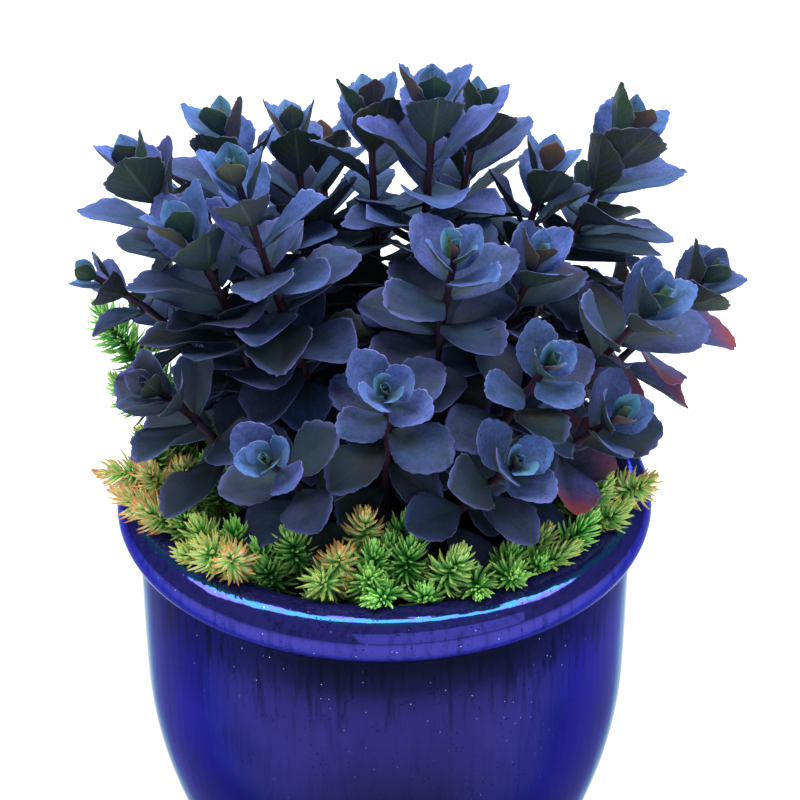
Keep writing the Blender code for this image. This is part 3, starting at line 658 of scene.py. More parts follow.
def cobaltGlaze():
    look = glazeLook
    glaze = Surface("cobaltGlazedStoneware", IOR=1.52, Specular_Tint=look["tint"], Metallic=look["metallic"],
                    Specular_IOR_Level=look["specular"])
    add, place = glaze.add, glaze.place
    height = add("height", place)
    radius = add("length", add("scaled", place, (1, 1, 0)))
    cloud = add("ramp", add("noise", place, 11.0, 3.0), (0.38, 0.0), (0.66, 0.5))
    body = add("mix", cloud, look["blue"], look["deep"])
    # Painted shade: the front of the belly is darkened towards deep blue, standing in for its darker
    # reflection
    reach = look["frontShadeReach"]
    thick = add("remap", add("distance", place, look["frontShadeAt"]), reach * 0.2, reach, 0.9, 0.0)
    body = add("mix", thick, body, look["deep"])
    # Lighter on the roll: the glaze breaks thin there, and painted light stands in for the bright sky it
    # reflects
    body = add("mix", add("remap", height, *look["rollHeights"]), body, look["rollBlue"])
    # Streaks run straight down, fine across and long along Z: dark just under the roll and fainter on it
    across, along = 1000 / look["streakWidthMm"], 1000 / look["streakLengthMm"]
    runs = add("scaled", place, (across, across, along))
    streaks = add("noise", runs, 0.5, 5.0, 0.62)
    dark = add("multiply", add("ramp", streaks, (0.50, 0.0), (0.63, 1.0)),
               add("remap", height, *look["streakHeights"], 0.14, 0.9))
    dark = add("multiply", dark, add("remap", height, *look["rollStreakHeights"], 1.0, 0.4))
    body = add("mix", dark, body, look["streakAndShade"])
    # Painted shade: the crease under the roll is darkened, most of all in front, where the roll shades it
    creaseShade = add("ramp", add("remap", height, *look["creaseHeights"]), (0.0, 0.0), (0.28, 0.25), (0.52, 0.8),
                 (0.72, 0.96), (0.88, 0.96), (0.95, 0.0))
    reach = look["creaseReach"]
    front = add("remap", add("distance", place, look["creaseAt"]), reach * 0.3, reach, 1.0, 0.45)
    creaseShade = add("multiply", creaseShade, front)
    body = add("mix", creaseShade, body, look["streakAndShade"])
    # Painted highlight: a torn sky-blue line over the roll's crest, colouring the lamp's reflection there
    wander = add("multiply_add", add("noise", place, 70.0, 4.0), look["crestTorn"], radius)
    crestHighlight = add("multiply", add("remap", wander, *look["crestInside"]),
                add("remap", wander, *look["crestOutside"], 1.0, 0.0))
    crestHighlight = add("multiply", crestHighlight, add("remap", height, *look["crestHeights"], 0.0, 0.95))
    crestHighlight = add("multiply", crestHighlight, add("ramp", streaks, (0.40, 0.4), (0.50, 1.0)))
    body = add("mix", crestHighlight, body, look["crestHighlightBlue"])
    # Pin marks lie in patches, with a few pale bubbles among them
    pits = add("ramp", add("spots", place, 1000 / look["pinMarkMm"]), (0.10, 1.0), (0.20, 0.0))
    pits = add("multiply", pits, add("ramp", add("noise", place, 60.0, 2.0), (0.45, 0.0), (0.58, 1.0)))
    body = add("mix", pits, body, look["pinMark"])
    bubbles = add("ramp", add("spots", place, 1000 / look["bubbleMm"]), (0.035, 1.0), (0.06, 0.0))
    bubbles = add("multiply", bubbles, add("remap", height, *look["bubbleHeights"], 0.2, 1.0))
    body = add("mix", bubbles, body, look["bubble"])
    # The foot ring stays bare clay
    bare = add("less_than", height, potShape["clayFoot"])
    rough = add("remap", streaks, 0.3, 0.8, look["roughness"] * 0.7, look["roughness"] * 1.8)
    rough = add("blend", bare, add("add", rough, add("multiply", creaseShade, 0.35)), 0.9)
    # The coat lies in soft waves and sinks a little at each pin mark
    relief = add("add", add("noise", runs, 0.16, 2.0), add("multiply", pits, -0.12))
    return glaze.shade(Base_Color=add("mix", bare, body, look["clay"]), Roughness=rough,
                       Normal=add("bump", relief, 0.3, 0.0010))


def rollArc(first, last, steps):
    z = potShape["height"] - potShape["rollRadius"]
    angles = [math.radians(first + (last - first) * i / steps) for i in range(steps + 1)]
    radius = potShape["rollRadius"]
    return [(potShape["fineRoll"] + radius * math.cos(a), z + radius * math.sin(a)) for a in angles]


# The pot's inside from the roll down to the floor, as (radius, height), moved in by gap
def innerWall(gap=0.0):
    insideRoll = potShape["rollCentre"] - potShape["rollRadius"]
    points = [(insideRoll, potShape["height"] - potShape["rollRadius"]), (insideRoll + 0.002, 0.268)]
    points += [(bodyRadius(z) - potShape["wall"], z) for z in potShape["innerHeights"]]
    points.append((bodyRadius(potShape["floor"]) - potShape["wall"] - 0.010, potShape["floor"]))
    return [(r - gap, z) for r, z in points]


def roundAngles(sides):
    return np.arange(sides) * math.tau / sides


def ringAt(radius, z, angles):
    return np.column_stack([radius * np.cos(angles), radius * np.sin(angles), np.full(len(angles), z)])


# Points and faces of rings about Z, closed to a point on the axis at both ends
def closedRings(rings, firstZ, lastZ):
    sides = len(rings[0])
    points = np.concatenate([*rings, [[0, 0, firstZ], [0, 0, lastZ]]])
    faces = bandFaces(len(rings), sides)
    last = (len(rings) - 1) * sides
    first = len(points) - 2
    faces += [(first, (k + 1) % sides, k) for k in range(sides)]
    faces += [(first + 1, last + k, last + (k + 1) % sides) for k in range(sides)]
    return points, faces


def makePot(finish):
    foot, bevel = bodyRadius(0.0), potShape["footBevel"]
    ring = foot - potShape["footRing"]
    recess = potShape["footRecess"]
    profile = [(ring - potShape["footSlope"], recess), (ring, 0.0), (foot - bevel, 0.0)]
    profile += [(foot - bevel + bevel * math.sin(a), bevel - bevel * math.cos(a)) for a in (0.4, 0.8, 1.2)]
    profile += [(bodyRadius(z), z) for z in np.linspace(bevel, potShape["neck"], potShape["bodySteps"])]
    profile += rollArc(*potShape["rollArc"])
    profile += innerWall()[1:]
    angles = roundAngles(potShape["sides"])
    gathered = Gathered()
    gathered.add(*closedRings([ringAt(r, z, angles) for r, z in profile], recess, potShape["floor"]))
    pot = makePiece("pot", gathered.mesh("pot"), [finish], "pot")
    cutters = bmesh.new()
    for k in range(potShape["drainHoles"]):
        a = math.tau * (k + 0.25) / potShape["drainHoles"]
        place = Vector((math.cos(a), math.sin(a), 0)) * potShape["drainCircle"]
        bmesh.ops.create_cone(cutters, cap_ends=True, segments=24, radius1=potShape["drainRadius"],
                              radius2=potShape["drainRadius"], depth=0.06, matrix=Matrix.Translation(place))
    cutterMesh = bpy.data.meshes.new("drainCutters")
    cutters.to_mesh(cutterMesh)
    cutters.free()
    cutter = bpy.data.objects.new("drainCutters", cutterMesh)
    bpy.context.scene.collection.objects.link(cutter)
    cut = pot.modifiers.new("drains", "BOOLEAN")
    cut.operation = "DIFFERENCE"
    cut.object = cutter
    bpy.context.view_layer.update()
    pot.data = bpy.data.meshes.new_from_object(pot.evaluated_get(bpy.context.evaluated_depsgraph_get()))
    pot.modifiers.clear()
    bpy.data.objects.remove(cutter)
    pot.data.shade_smooth()
    pot.data.set_sharp_from_angle(angle=math.radians(40))
    return pot


# Peat potting mix, loose and moist: near black with brown crumbs, so it drinks the light between the stems
soilLook = {"dark": "#120d0a", "brown": "#33251b", "grainMm": 1.6, "roughness": 0.92}


def pottingMix():
    look = soilLook
    peat = Surface("moistPeatPottingMix", Specular_IOR_Level=0.25)
    add, rough = peat.add, look["roughness"]
    grain = add("noise", peat.place, noiseScale(look["grainMm"]), 6.0)
    return peat.shade(Base_Color=add("ramp", grain, (0.38, look["dark"]), (0.72, look["brown"])),
                      Roughness=add("remap", grain, 0, 1, rough - 0.15, rough + 0.08),
                      Normal=add("bump", grain, 0.8, 0.0015))


def makeSoil(finish):
    look = soilShape
    draw = random.Random(look["seed"])
    edge = potShape["rollCentre"] - potShape["rollRadius"] + 0.0002
    # Its top is the sum of waves, each with its tightness, direction and start
    waves = [(draw.uniform(*look["waveSpan"]), draw.uniform(0, math.tau), draw.uniform(0, math.tau))
             for _ in range(look["waves"])]
    angles = roundAngles(look["sides"])
    rings = []
    for i in range(1, look["rings"] + 1):
        r = edge * i / look["rings"]
        x, y = r * np.cos(angles), r * np.sin(angles)
        z = sum(np.sin(f * (x * math.cos(d) + y * math.sin(d)) + p) / (1 + f / 120) for f, d, p in waves) / 5
        fade = min(1.0, (look["rings"] - i) / 3)
        rings.append(ringAt(r, look["top"] - look["rough"] + z * look["rough"] * fade, angles))
    wall = [p for p in innerWall(look["gap"]) if p[1] < look["top"] - 0.012]
    wall[-1] = (wall[-1][0], potShape["floor"] + look["gap"])
    rings += [ringAt(r, z, angles) for r, z in wall]
    points, faces = closedRings(rings, look["top"] - 0.002, wall[-1][1])
    gathered = Gathered()
    gathered.add(points, [(face[0], *reversed(face[1:])) for face in faces])
    # Crumbs of bark and peat lie on top
    ball = bmesh.new()
    bmesh.ops.create_icosphere(ball, subdivisions=1, radius=1.0)
    ballPoints = [v.co.copy() for v in ball.verts]
    ballFaces = [tuple(v.index for v in f.verts) for f in ball.faces]
    ball.free()
    for _ in range(look["crumbs"]):
        r, a = (edge - 0.004) * math.sqrt(draw.random()), draw.uniform(0, math.tau)
        size = look["leastCrumb"] + look["crumbSpread"] * draw.random() ** 2
        turn = Matrix.Rotation(draw.uniform(0, math.tau), 3, "Z")
        lean = Matrix.Rotation(draw.uniform(-look["crumbLean"], look["crumbLean"]), 3, "X")
        long, wide = draw.uniform(*look["crumbLong"]), draw.uniform(*look["crumbWide"])
        shape = turn @ lean @ Matrix.Diagonal((size * long, size * wide, size * look["crumbFlat"]))
        z = look["top"] - look["crumbSink"] + draw.uniform(*look["crumbStray"])
        spot = Vector((r * math.cos(a), r * math.sin(a), z))
        gathered.add([shape @ (p * draw.uniform(0.75, 1.15)) + spot for p in ballPoints], ballFaces)
    return makePiece("pottingSoil", gathered.mesh("pottingSoil"), [finish], "soil")


# Broad sedum leaf: thick and waxy, grown, not made. A dusty blue-violet bloom scatters the light, young
# leaves show teal and green through it, undersides are near black green, and old leaves blush red-brown.
leafLook = {
    "bloomBlue": "#5a78d6", "bloomViolet": "#6b6ed2", "bloomShade": "#365090", "sheen": "#8fa8ff",
    "baseGreen": "#324d58", "teal": "#4a8aa8", "green": "#456a38", "youngUnder": "#3c6040",
    "brownUnder": "#745240", "rim": "#8a96d8", "rimYoung": "#c08aa0", "rimUnder": "#6f6486",
    "under": "#293a31", "underBlue": "#2b3648", "vein": "#4d5c58", "oldAndShadedBlue": "#1f3335",
    "oldAndShadedBrown": "#2a2d28", "blushDull": "#33262a", "blush": "#983c22", "speck": "#161a26",
    "mottleMm": 1.0, "blotchMm": 5.0, "patchMm": 14.0, "speckMm": 3.4, "roughness": 0.56, "bump": 0.40,
}
# Depths are in metres, for a leaf as long as "ofLength". Shares run from a leaf's base to its tip.
bladeShape = {
    "rows": 22, "lowRows": 9, "columns": (-1.0, -0.93, -0.62, -0.16, 0.0, 0.16, 0.62, 0.93, 1.0),
    "ofLength": 0.045, "startShare": 0.035, "leastOutline": 0.13, "teeth": 8, "toothDepth": 0.0013,
    "toothedFrom": 0.16, "wave": 0.0008, "pucker": 0.00035, "groove": 0.00045, "grooveWidth": 0.10,
    "point": 0.42, "pointFrom": 0.62, "uprightPoint": 1.0, "openPoint": 0.35, "youngTeeth": 0.35,
}


def waxyLeaf():
    look = leafLook
    wax = Surface("waxyBloomSedumLeaf", IOR=1.42, Specular_IOR_Level=0.25, Sheen_Weight=0.05,
                  Sheen_Roughness=0.5, Sheen_Tint=look["sheen"])
    add, place = wax.add, wax.place
    along, rim, under = add("channels", add("stored", attribute_name="leafMap")).node.outputs
    youth, ageAndShade, tone = add("channels", add("stored", attribute_name="leafKind")).node.outputs
    mottle = add("noise", place, noiseScale(look["mottleMm"]), 4.0, 0.65)
    blotch = add("noise", place, noiseScale(look["blotchMm"]), 5.0, 0.7)
    patch = add("noise", place, noiseScale(look["patchMm"]), 2.0)
    violet = add("multiply_add", patch, 0.5, add("multiply", tone, 0.5))
    bloom = add("mix", add("ramp", violet, (0.34, 0.0), (0.66, 1.0)), look["bloomBlue"], look["bloomViolet"])
    rubbed = add("maximum", add("ramp", mottle, (0.40, 0.7), (0.60, 0.0)),
                 add("ramp", blotch, (0.41, 0.85), (0.54, 0.0)))
    bloom = add("mix", rubbed, bloom, look["bloomShade"])
    # The bloom is thin at the leaf's dark green base and thick out at its margin
    outwards = add("multiply_add", along, 0.65, add("multiply", rim, 0.45))
    bloom = add("mix", add("ramp", outwards, (0.14, 0.0), (0.54, 1.0)), look["baseGreen"], bloom)
    # Young leaves: green at the base and teal further out
    young = add("ramp", add("multiply_add", tone, 0.4, outwards), (0.62, 0.0), (1.0, 1.0))
    young = add("mix", young, look["green"], look["teal"])
    youngShare = add("multiply", youth, add("ramp", patch, (0.30, 0.45), (0.60, 1.0)))
    top = add("mix", youngShare, bloom, young)
    # Old and low leaves, from age and painted shade: dull blue to brown, and a few blush red towards the tip
    oldAndShaded = add("mix", add("ramp", patch, (0.40, 0.0), (0.60, 1.0)), look["oldAndShadedBlue"], look["oldAndShadedBrown"])
    oldAndShaded = add("mix", add("ramp", outwards, (0.80, 0.0), (1.0, 0.34)), oldAndShaded, look["bloomViolet"])
    top = add("mix", ageAndShade, top, oldAndShaded)
    blushing = add("remap", tone, 1.5, 2.5)
    dulled = add("ramp", blushing, (0.0, 0.0), (0.3, 0.8), (0.6, 0.6), (1.0, 0.2))
    top = add("mix", dulled, top, look["blushDull"])
    redness = add("multiply_add", mottle, 0.5, add("multiply", along, 0.6))
    redness = add("multiply", add("ramp", redness, (0.58, 0.0), (0.82, 1.0)), blushing)
    top = add("mix", redness, top, look["blush"])
    below = add("mix", add("ramp", patch, (0.42, 0.0), (0.60, 1.0)), look["under"], look["underBlue"])
    youngBelow = add("ramp", tone, (0.45, 0.0), (0.80, 1.0))
    youngBelow = add("mix", youngBelow, look["youngUnder"], look["brownUnder"])
    below = add("mix", add("multiply", youth, 0.8), below, youngBelow)
    below = add("mix", add("multiply", blushing, 0.5), below, look["blushDull"])
    # Sunken veins leave the midrib at a slant, plainer on the underside
    slant = add("multiply", add("multiply_add", rim, -0.42, along), 21.0)
    veins = add("ramp", add("absolute", add("sine", slant)), (0.02, 1.0), (0.16, 0.0))
    veins = add("multiply", veins, add("ramp", rim, (0.70, 1.0), (0.95, 0.0)))
    veins = add("maximum", veins, add("ramp", rim, (0.03, 1.0), (0.09, 0.0)))
    below = add("mix", add("multiply", veins, 0.55), below, look["vein"])
    top = add("mix", add("multiply", veins, 0.10), top, look["bloomShade"])
    edge = add("multiply", add("ramp", rim, (0.95, 0.0), (1.0, 0.8)),
               add("ramp", mottle, (0.40, 0.3), (0.60, 1.0)))
    top = add("mix", edge, top, add("mix", youth, look["rim"], look["rimYoung"]))
    below = add("mix", edge, below, look["rimUnder"])
    colour = add("mix", add("ramp", under, (0.42, 0.0), (0.62, 1.0)), top, below)
    # Specks of soil and scars, in patches
    specks = add("ramp", add("spots", place, 1000 / look["speckMm"]), (0.10, 1.0), (0.22, 0.0))
    specks = add("multiply", specks, add("ramp", patch, (0.44, 0.0), (0.60, 0.7)))
    rough = add("remap", mottle, 0.3, 0.7, look["roughness"] - 0.08, look["roughness"] + 0.12)
    relief = add("multiply_add", veins, -0.5, mottle)
    return wax.shade(Base_Color=add("mix", specks, colour, look["speck"]), Roughness=rough,
                     Normal=add("bump", relief, look["bump"], 0.0006))


# Fleshy sedum stem: smooth and round, dark wine red under a thin bloom
stemLook = {
    "wine": "#2e1426", "bloom": "#3e2c4a", "foot": "#20181a", "footHeights": (0.29, 0.36), "roughness": 0.48,
    "radiusFoot": 0.0031, "radiusTip": 0.0020, "sides": 10, "knot": 0.28, "knotReach": 0.0035,
    "endReach": 0.004, "endShare": 0.5,
}


def fleshyStem():
    look = stemLook
    skin = Surface("fleshySedumStem", IOR=1.42)
    add, rough = skin.add, look["roughness"]
    cloud = add("noise", skin.place, 120.0, 4.0)
    colour = add("mix", add("ramp", cloud, (0.40, 0.0), (0.70, 0.7)), look["wine"], look["bloom"])
    low = add("remap", add("height", skin.place), *look["footHeights"], 1.0, 0.0)
    return skin.shade(Base_Color=add("mix", low, colour, look["foot"]),
                      Roughness=add("remap", cloud, 0, 1, rough - 0.1, rough + 0.15),
                      Normal=add("bump", cloud, 0.3, 0.0005))


# Rows that step evenly along the leaf's edge, so that every tooth gets the same points
def evenRows(rows):
    fine = np.linspace(bladeShape["startShare"], 1.0, 800)
    edge = np.column_stack([fine, leafOutline(fine) * shootShape["leafWidth"]])
    walked = np.concatenate([[0], np.cumsum(np.linalg.norm(np.diff(edge, axis=0), axis=1))])
    return np.interp(np.linspace(0, walked[-1], rows + 1), walked, fine)[:-1]


# Faces of a blade: its upper side, its underside on the same rim, the tip and the cut base
def bladeFaces(rows, columns):
    inner = columns - 2
    tip = rows * columns + rows * inner

    def upper(i, j):
        return i * columns + j

    def lower(i, j):
        return upper(i, j) if j in (0, columns - 1) else rows * columns + i * inner + j - 1

    faces = []
    for i in range(rows - 1):
        for j in range(columns - 1):
            faces.append((upper(i, j), upper(i + 1, j), upper(i + 1, j + 1), upper(i, j + 1)))
            faces.append((lower(i, j), lower(i, j + 1), lower(i + 1, j + 1), lower(i + 1, j)))
    for j in range(columns - 1):
        faces.append((upper(rows - 1, j), tip, upper(rows - 1, j + 1)))
        faces.append((lower(rows - 1, j), lower(rows - 1, j + 1), tip))
    base = [upper(0, j) for j in range(columns)] + [lower(0, j) for j in range(columns - 2, 0, -1)]
    return [*faces, tuple(base)]


# Rows and faces of the two kinds of blade: in full detail, and plainer for those inside the clump
bladeGrids = {low: (evenRows(rows), bladeFaces(rows, len(bladeShape["columns"])))
              for low, rows in ((False, bladeShape["rows"]), (True, bladeShape["lowRows"]))}


# One fine blade on the frame of its plain solid: scalloped teeth, waved margin, midrib and puckers
def fineBlade(leaf, draw, teeth):
    shape = bladeShape
    rows, faces = bladeGrids[leaf.get("low", False)]
    share = np.repeat(rows[:, None], len(shape["columns"]), axis=1)
    across = np.repeat(np.array(shape["columns"])[None, :], len(rows), axis=0)
    reach = np.abs(across)
    size = leaf["length"] / shape["ofLength"]
    most = min(1.2, size)
    step = np.arange(len(rows))[:, None] / shape["rows"] * shape["teeth"]
    phase = (step + np.where(across > 0, 0.0, draw.uniform(0.1, 0.9))) % 1.0
    toothed = np.clip((share - shape["toothedFrom"]) / 0.15, 0, 1)
    tooth = np.sin(phase * math.pi * 0.62) * shape["toothDepth"] * most * teeth * toothed * reach**8
    point = np.clip((share - shape["pointFrom"]) / (1 - shape["pointFrom"]), 0, 1)
    outline = leafOutline(share) * (1 - shape["point"] * leaf.get("pointed", 0.4) * point**2)
    outline = np.maximum(outline, shape["leastOutline"])
    notch = shape["toothDepth"] * 0.4 * size * teeth * toothed * reach**8
    side = across * (leaf["width"] * outline * 0.985 - notch) + np.sign(across) * tooth
    share = np.minimum(share + tooth * 0.7 / leaf["length"], 1.0)
    wave = 0.0
    for sign in (1, -1):
        turns, start = draw.uniform(1.2, 2.4), draw.uniform(0, math.tau)
        wave = wave + np.where(across * sign > 0, np.sin(share * turns * math.tau + start), 0.0)
    wave = wave * shape["wave"] * size * reach**2.5 * np.clip(share * 2 - 0.3, 0, 1)
    a, b, c = (draw.uniform(0, math.tau) for _ in range(3))
    pucker = np.sin(share * 9 + a) * np.sin(across * 4 + b) + 0.6 * np.sin(share * 17 + across * 5 + c)
    middle = wave + pucker * shape["pucker"] * most * (1 - reach**4) * np.clip(share * 4, 0, 1)
    body = (1 - reach**3).clip(0) ** 0.6
    fall = np.clip(1.15 - 0.75 * share, 0.25, 1.0) * np.clip((1 - share) * 9, 0.15, 1.0)
    half = leaf["thick"] * body * fall * 0.92
    rib = np.exp(-(across / shape["grooveWidth"]) ** 2) * (1 - share) ** 0.5 * shape["groove"] * most
    top = leafPoints(leaf, share, side, middle + half - rib)
    bottom = leafPoints(leaf, share, side, middle - half - rib * 1.2)[:, 1:-1]
    tip = leafPoints(leaf, np.array([1.0]), np.array([0.0]), np.array([0.0]))
    points = np.concatenate([top.reshape(-1, 3), bottom.reshape(-1, 3), tip])
    # The map that the material reads: share along, share across, and 0 on top, 0.5 at the rim, 1 below
    below = np.where(reach == 1.0, 0.5, 0.0)
    topMap = np.stack([share, reach, below], axis=-1).reshape(-1, 3)
    underMap = np.stack([share, reach, np.ones_like(share)], axis=-1)[:, 1:-1].reshape(-1, 3)
    return points, faces, np.concatenate([topMap, underMap, [[1.0, 1.0, 0.5]]])


# Tiny leaves of a closed bud, in two crossed pairs: turn about the stem and lean, in degrees, and share of
# the bud's length
budShape = {
    "leaves": ((0, 15, 1.0), (180, 15, 0.96), (90, 10, 0.72), (270, 12, 0.66)),
    "apart": 0.0012, "width": 0.33, "bend": 18, "thick": 0.0008, "cup": 0.55,
}


def budLeaves(bud):
    shape = budShape
    up, front, side = bud["out"], bud["face"], bud["side"]
    found = []
    for turn, lean, share in shape["leaves"]:
        a = math.radians(turn)
        away = front * math.cos(a) + side * math.sin(a)
        tilt = math.radians(lean)
        length = bud["length"] * share
        found.append({
            "base": bud["base"] + away * shape["apart"], "out": up * math.cos(tilt) + away * math.sin(tilt),
            "face": up * math.sin(tilt) - away * math.cos(tilt), "side": up.cross(away), "length": length,
            "width": length * shape["width"], "bend": math.radians(shape["bend"]), "thick": shape["thick"],
            "cup": shape["cup"],
        })
    return found


# A polyline with its corners cut, so that a stem bends smoothly and still passes its leaves' bases
def softened(line, rounds=3):
    for _ in range(rounds):
        cut = [line[0]]
        for a, b in zip(line, line[1:]):
            cut += [a.lerp(b, 0.25), a.lerp(b, 0.75)]
        line = cut + [line[-1]]
    return line


def stemTube(line, sides, radiusAt):
    line = softened(line)
    walked = [0.0]
    for a, b in zip(line, line[1:]):
        walked.append(walked[-1] + (b - a).length)
    radii = [radiusAt(walked[-1] - distance, walked[-1]) for distance in walked]
    return tube(line, radii, sides)


# How leaves age and darken: how young each pair looks, from the bud down, the height below which leaves
# start to look old and darker, which is age and also painted shade for the depth of the clump, and how much
# lower they are quite old. Blush spots turn old leaves red, and dull spots darken a whole head: place in
# millimetres, reach in metres, how far.
agingAndShadeLook = {
    "youth": (1.0, 0.85, 0.36, 0.14, 0.05, 0.0), "from": 0.56, "within": 0.11,
    "youthSpan": (0.5, 1.15), "ageSpan": (0.6, 1.0),
    "blush": (((192, -30, 395), 0.044, 0.8), ((150, -20, 400), 0.030, 0.55), ((140, -90, 345), 0.036, 0.9),
              ((110, -60, 350), 0.030, 0.4)),
    "dull": (((-140, -85, 405), 0.060, 0.85), ((-110, -60, 400), 0.040, 0.7), ((212, -14, 462), 0.034, 0.6),
             ((-125, -60, 350), 0.035, 0.9), ((20, -150, 350), 0.040, 0.7)),
}


# How far each spot of a kind acts on a leaf
def spotsOn(leaf, kind):
    middle = leaf["base"] + leaf["out"] * leaf["length"] * 0.6
    return [strength for spot, reach, strength in agingAndShadeLook[kind]
            if (middle - Vector(spot) * mm).length < reach]


# How young a leaf looks, its age with painted shade low down, and its own tone, past 1.5 where it blushes
def leafKind(leaf, draw):
    look, pair = agingAndShadeLook, leaf["pair"]
    youth = look["youth"][min(pair, 5)] * draw.uniform(*look["youthSpan"])
    low = min(1.0, max(0.0, (look["from"] - leaf["base"].z) / look["within"]))
    ageAndShade = low * min(1.0, max(0, pair - 2) / 2) * draw.uniform(*look["ageSpan"])
    tone = draw.uniform(0.0, 1.0)
    for strength in spotsOn(leaf, "blush") if pair > 2 else ():
        tone, ageAndShade = 1.5 + strength, ageAndShade * (1 - strength)
    for strength in spotsOn(leaf, "dull"):
        youth, ageAndShade = youth * (1 - strength), max(ageAndShade, strength)
    return min(1.0, youth), ageAndShade, tone


def makeShoot(plan, finishes):
    look = stemLook
    draw = random.Random(plan["name"] + "Look")
    gathered = Gathered("leafMap", "leafKind")
    knots = sorted({round(leaf["distance"], 4) for leaf in plan["leaves"]})
    upright = plan["shoot"][2][1] < shootShape["uprightTilt"]

    def radiusAt(distance, whole):
        radius = look["radiusTip"] + (look["radiusFoot"] - look["radiusTip"]) * min(1.0, distance / whole)
        swell = sum(math.exp(-((distance - knot) / look["knotReach"]) ** 2) for knot in knots[3:])
        end = 1.0 if distance > look["endReach"] else look["endShare"]
        return radius * (1 + look["knot"] * min(1.0, swell)) * end

    core = rooted(plan["line"])
    gathered.add(*stemTube(core, look["sides"], radiusAt), slot=1)
    for leaf in plan["leaves"]:
        kind = leafKind(leaf, draw)
        leaf["pointed"] = bladeShape["uprightPoint" if upright else "openPoint"]
        teeth = bladeShape["youngTeeth"] if leaf["pair"] < 2 else 1.0
        for blade in [leaf] if leaf["pair"] else budLeaves(leaf):
            points, faces, leafMap = fineBlade(blade, draw, teeth)
            gathered.add(points, faces, leafMap=leafMap, leafKind=kind)
    name = "sedumShoot" + plan["name"][-2:]
    return makePiece(name, gathered.mesh(name), finishes, plan["name"])


# Stonecrop needle: a small round fleshy leaf with a smooth waxy skin, green at its root, yellow and then
# orange at its tip where the sun has coloured it
needleLook = {
    "deep": "#1b4c2c", "green": "#3fae4a", "lime": "#b2f084", "cream": "#f8ecb8", "orange": "#f0a05c",
    "pinkTip": "#d8764c", "dry": "#4a3c28", "roughness": 0.42,
}
needleShape = {
    "length": 0.0225, "width": 0.00112, "flat": 0.78, "sides": 5, "rings": (0.0, 0.32, 0.70, 0.92),
    "girths": (0.68, 1.0, 0.86, 0.42), "curve": 36, "leafy": 0.030, "perMillimetre": 3.0,
    "crowded": 0.018, "lifts": (0, -14, -28, -42, -56), "twigSides": 6, "twigTip": 0.0009,
    "tipAngle": 6, "spread": 72, "droop": 12, "stray": 13, "turnStray": 0.2,
    "lengths": (0.72, 1.08), "widths": (0.85, 1.15), "ripeSpan": (0.75, 1.2),
    "trailingFrom": 0.10, "trailingLeafy": 0.72, "trailingPerMillimetre": 1.5,
    "fillers": 3, "fillersWithin": 0.138, "fillersApart": (0.012, 0.026), "fillerLean": (0.002, 0.012),
    "fillerRise": (0.012, 0.026), "fillerSunAndShade": (-1.0, 0.1), "fillerSteep": 0.8, "mostLeafy": 0.92,
}
# How far the sun has coloured each spray, in the order of the tufts: 1 is orange, 0 green, and below 0 green
# darkened by painted shade. After the last value they start again.
spraySunAndShade = (
    1.0, 0.45, 0.95, 0.75, 1.0, 0.1, 0.95, 0.4, -0.3, 0.5, 0.6, 0.9, -0.4, 0.35, 0.9, 0.5, 0.8,
    0.05, 0.3, -0.3, 0.1, 0.45, 0.3, -0.2, 0.3, 0.5, 0.2, 0.3, 0.55, 0.75, 0.3, 0.6, 0.2, 0.8, 0.4, 0.5,
)
# More sprays in some of the tufts: the tuft's number, root x, y, tip x, y, z, and how sunned, painted shade
# below 0
moreSprays = (
    (6, (-106, -98), (-121, -112, 317), 0.6), (7, (-92, -96), (-91, -102, 328), 0.1),
    (8, (-72, -106), (-77, -112, 320), 0.15), (13, (4, -112), (4, -119, 330), 0.2),
    (11, (6, -100), (13, -108, 336), 0.05), (14, (24, -134), (25, -150, 314), 0.15),
    (17, (90, -98), (96, -119, 314), 0.2), (16, (84, -94), (100, -98, 321), 0.55),
    (18, (122, -58), (138, -70, 341), 0.5), (21, (-134, 34), (-186, 42, 404), -0.2),
    (21, (-132, 42), (-180, 30, 356), 0.35),
)


def succulentNeedle():
    look = needleLook
    skin = Surface("waxyStonecropNeedle", IOR=1.42)
    add, rough = skin.add, look["roughness"]
    along, sunAndShade, inner = add("channels", add("stored", attribute_name="needleMap")).node.outputs
    speckle = add("noise", skin.place, 420.0, 3.0)
    green = add("ramp", along, (0.0, look["deep"]), (0.35, look["green"]), (0.85, look["lime"]))
    # Painted shade: sprays low in the ring and some listed ones, below 0, are darkened towards deep green
    green = add("mix", add("remap", sunAndShade, -1.0, 0.0, 0.8, 0.0), green, look["deep"])
    sunned = add("ramp", along, (0.0, look["green"]), (0.30, look["lime"]), (0.62, look["cream"]),
                 (0.85, look["orange"]), (1.0, look["pinkTip"]))
    patchy = add("remap", speckle, 0.3, 0.7, 0.75, 1.15)
    sunshine = add("multiply", add("remap", sunAndShade, 0.25, 0.95), patchy, use_clamp=True)
    colour = add("mix", sunshine, green, sunned)
    colour = add("mix", add("remap", inner, 0.75, 1.0, 0.0, 0.6), colour, look["dry"])
    return skin.shade(Base_Color=colour, Roughness=add("remap", speckle, 0, 1, rough - 0.1, rough + 0.15),
                      Normal=add("bump", speckle, 0.2, 0.0004))


# Stonecrop stem: thin and woody at the foot, with a dull olive to brown skin
twigLook = {"olive": "#4f5a2b", "brown": "#4a3524", "roughness": 0.7}


def stonecropStem():
    look = twigLook
    skin = Surface("drySkinStonecropStem", Specular_IOR_Level=0.3)
    add, rough = skin.add, look["roughness"]
    cloud = add("noise", skin.place, 260.0, 4.0)
    return skin.shade(Base_Color=add("ramp", cloud, (0.38, look["brown"]), (0.64, look["olive"])),
                      Roughness=add("remap", cloud, 0, 1, rough - 0.1, rough + 0.2))


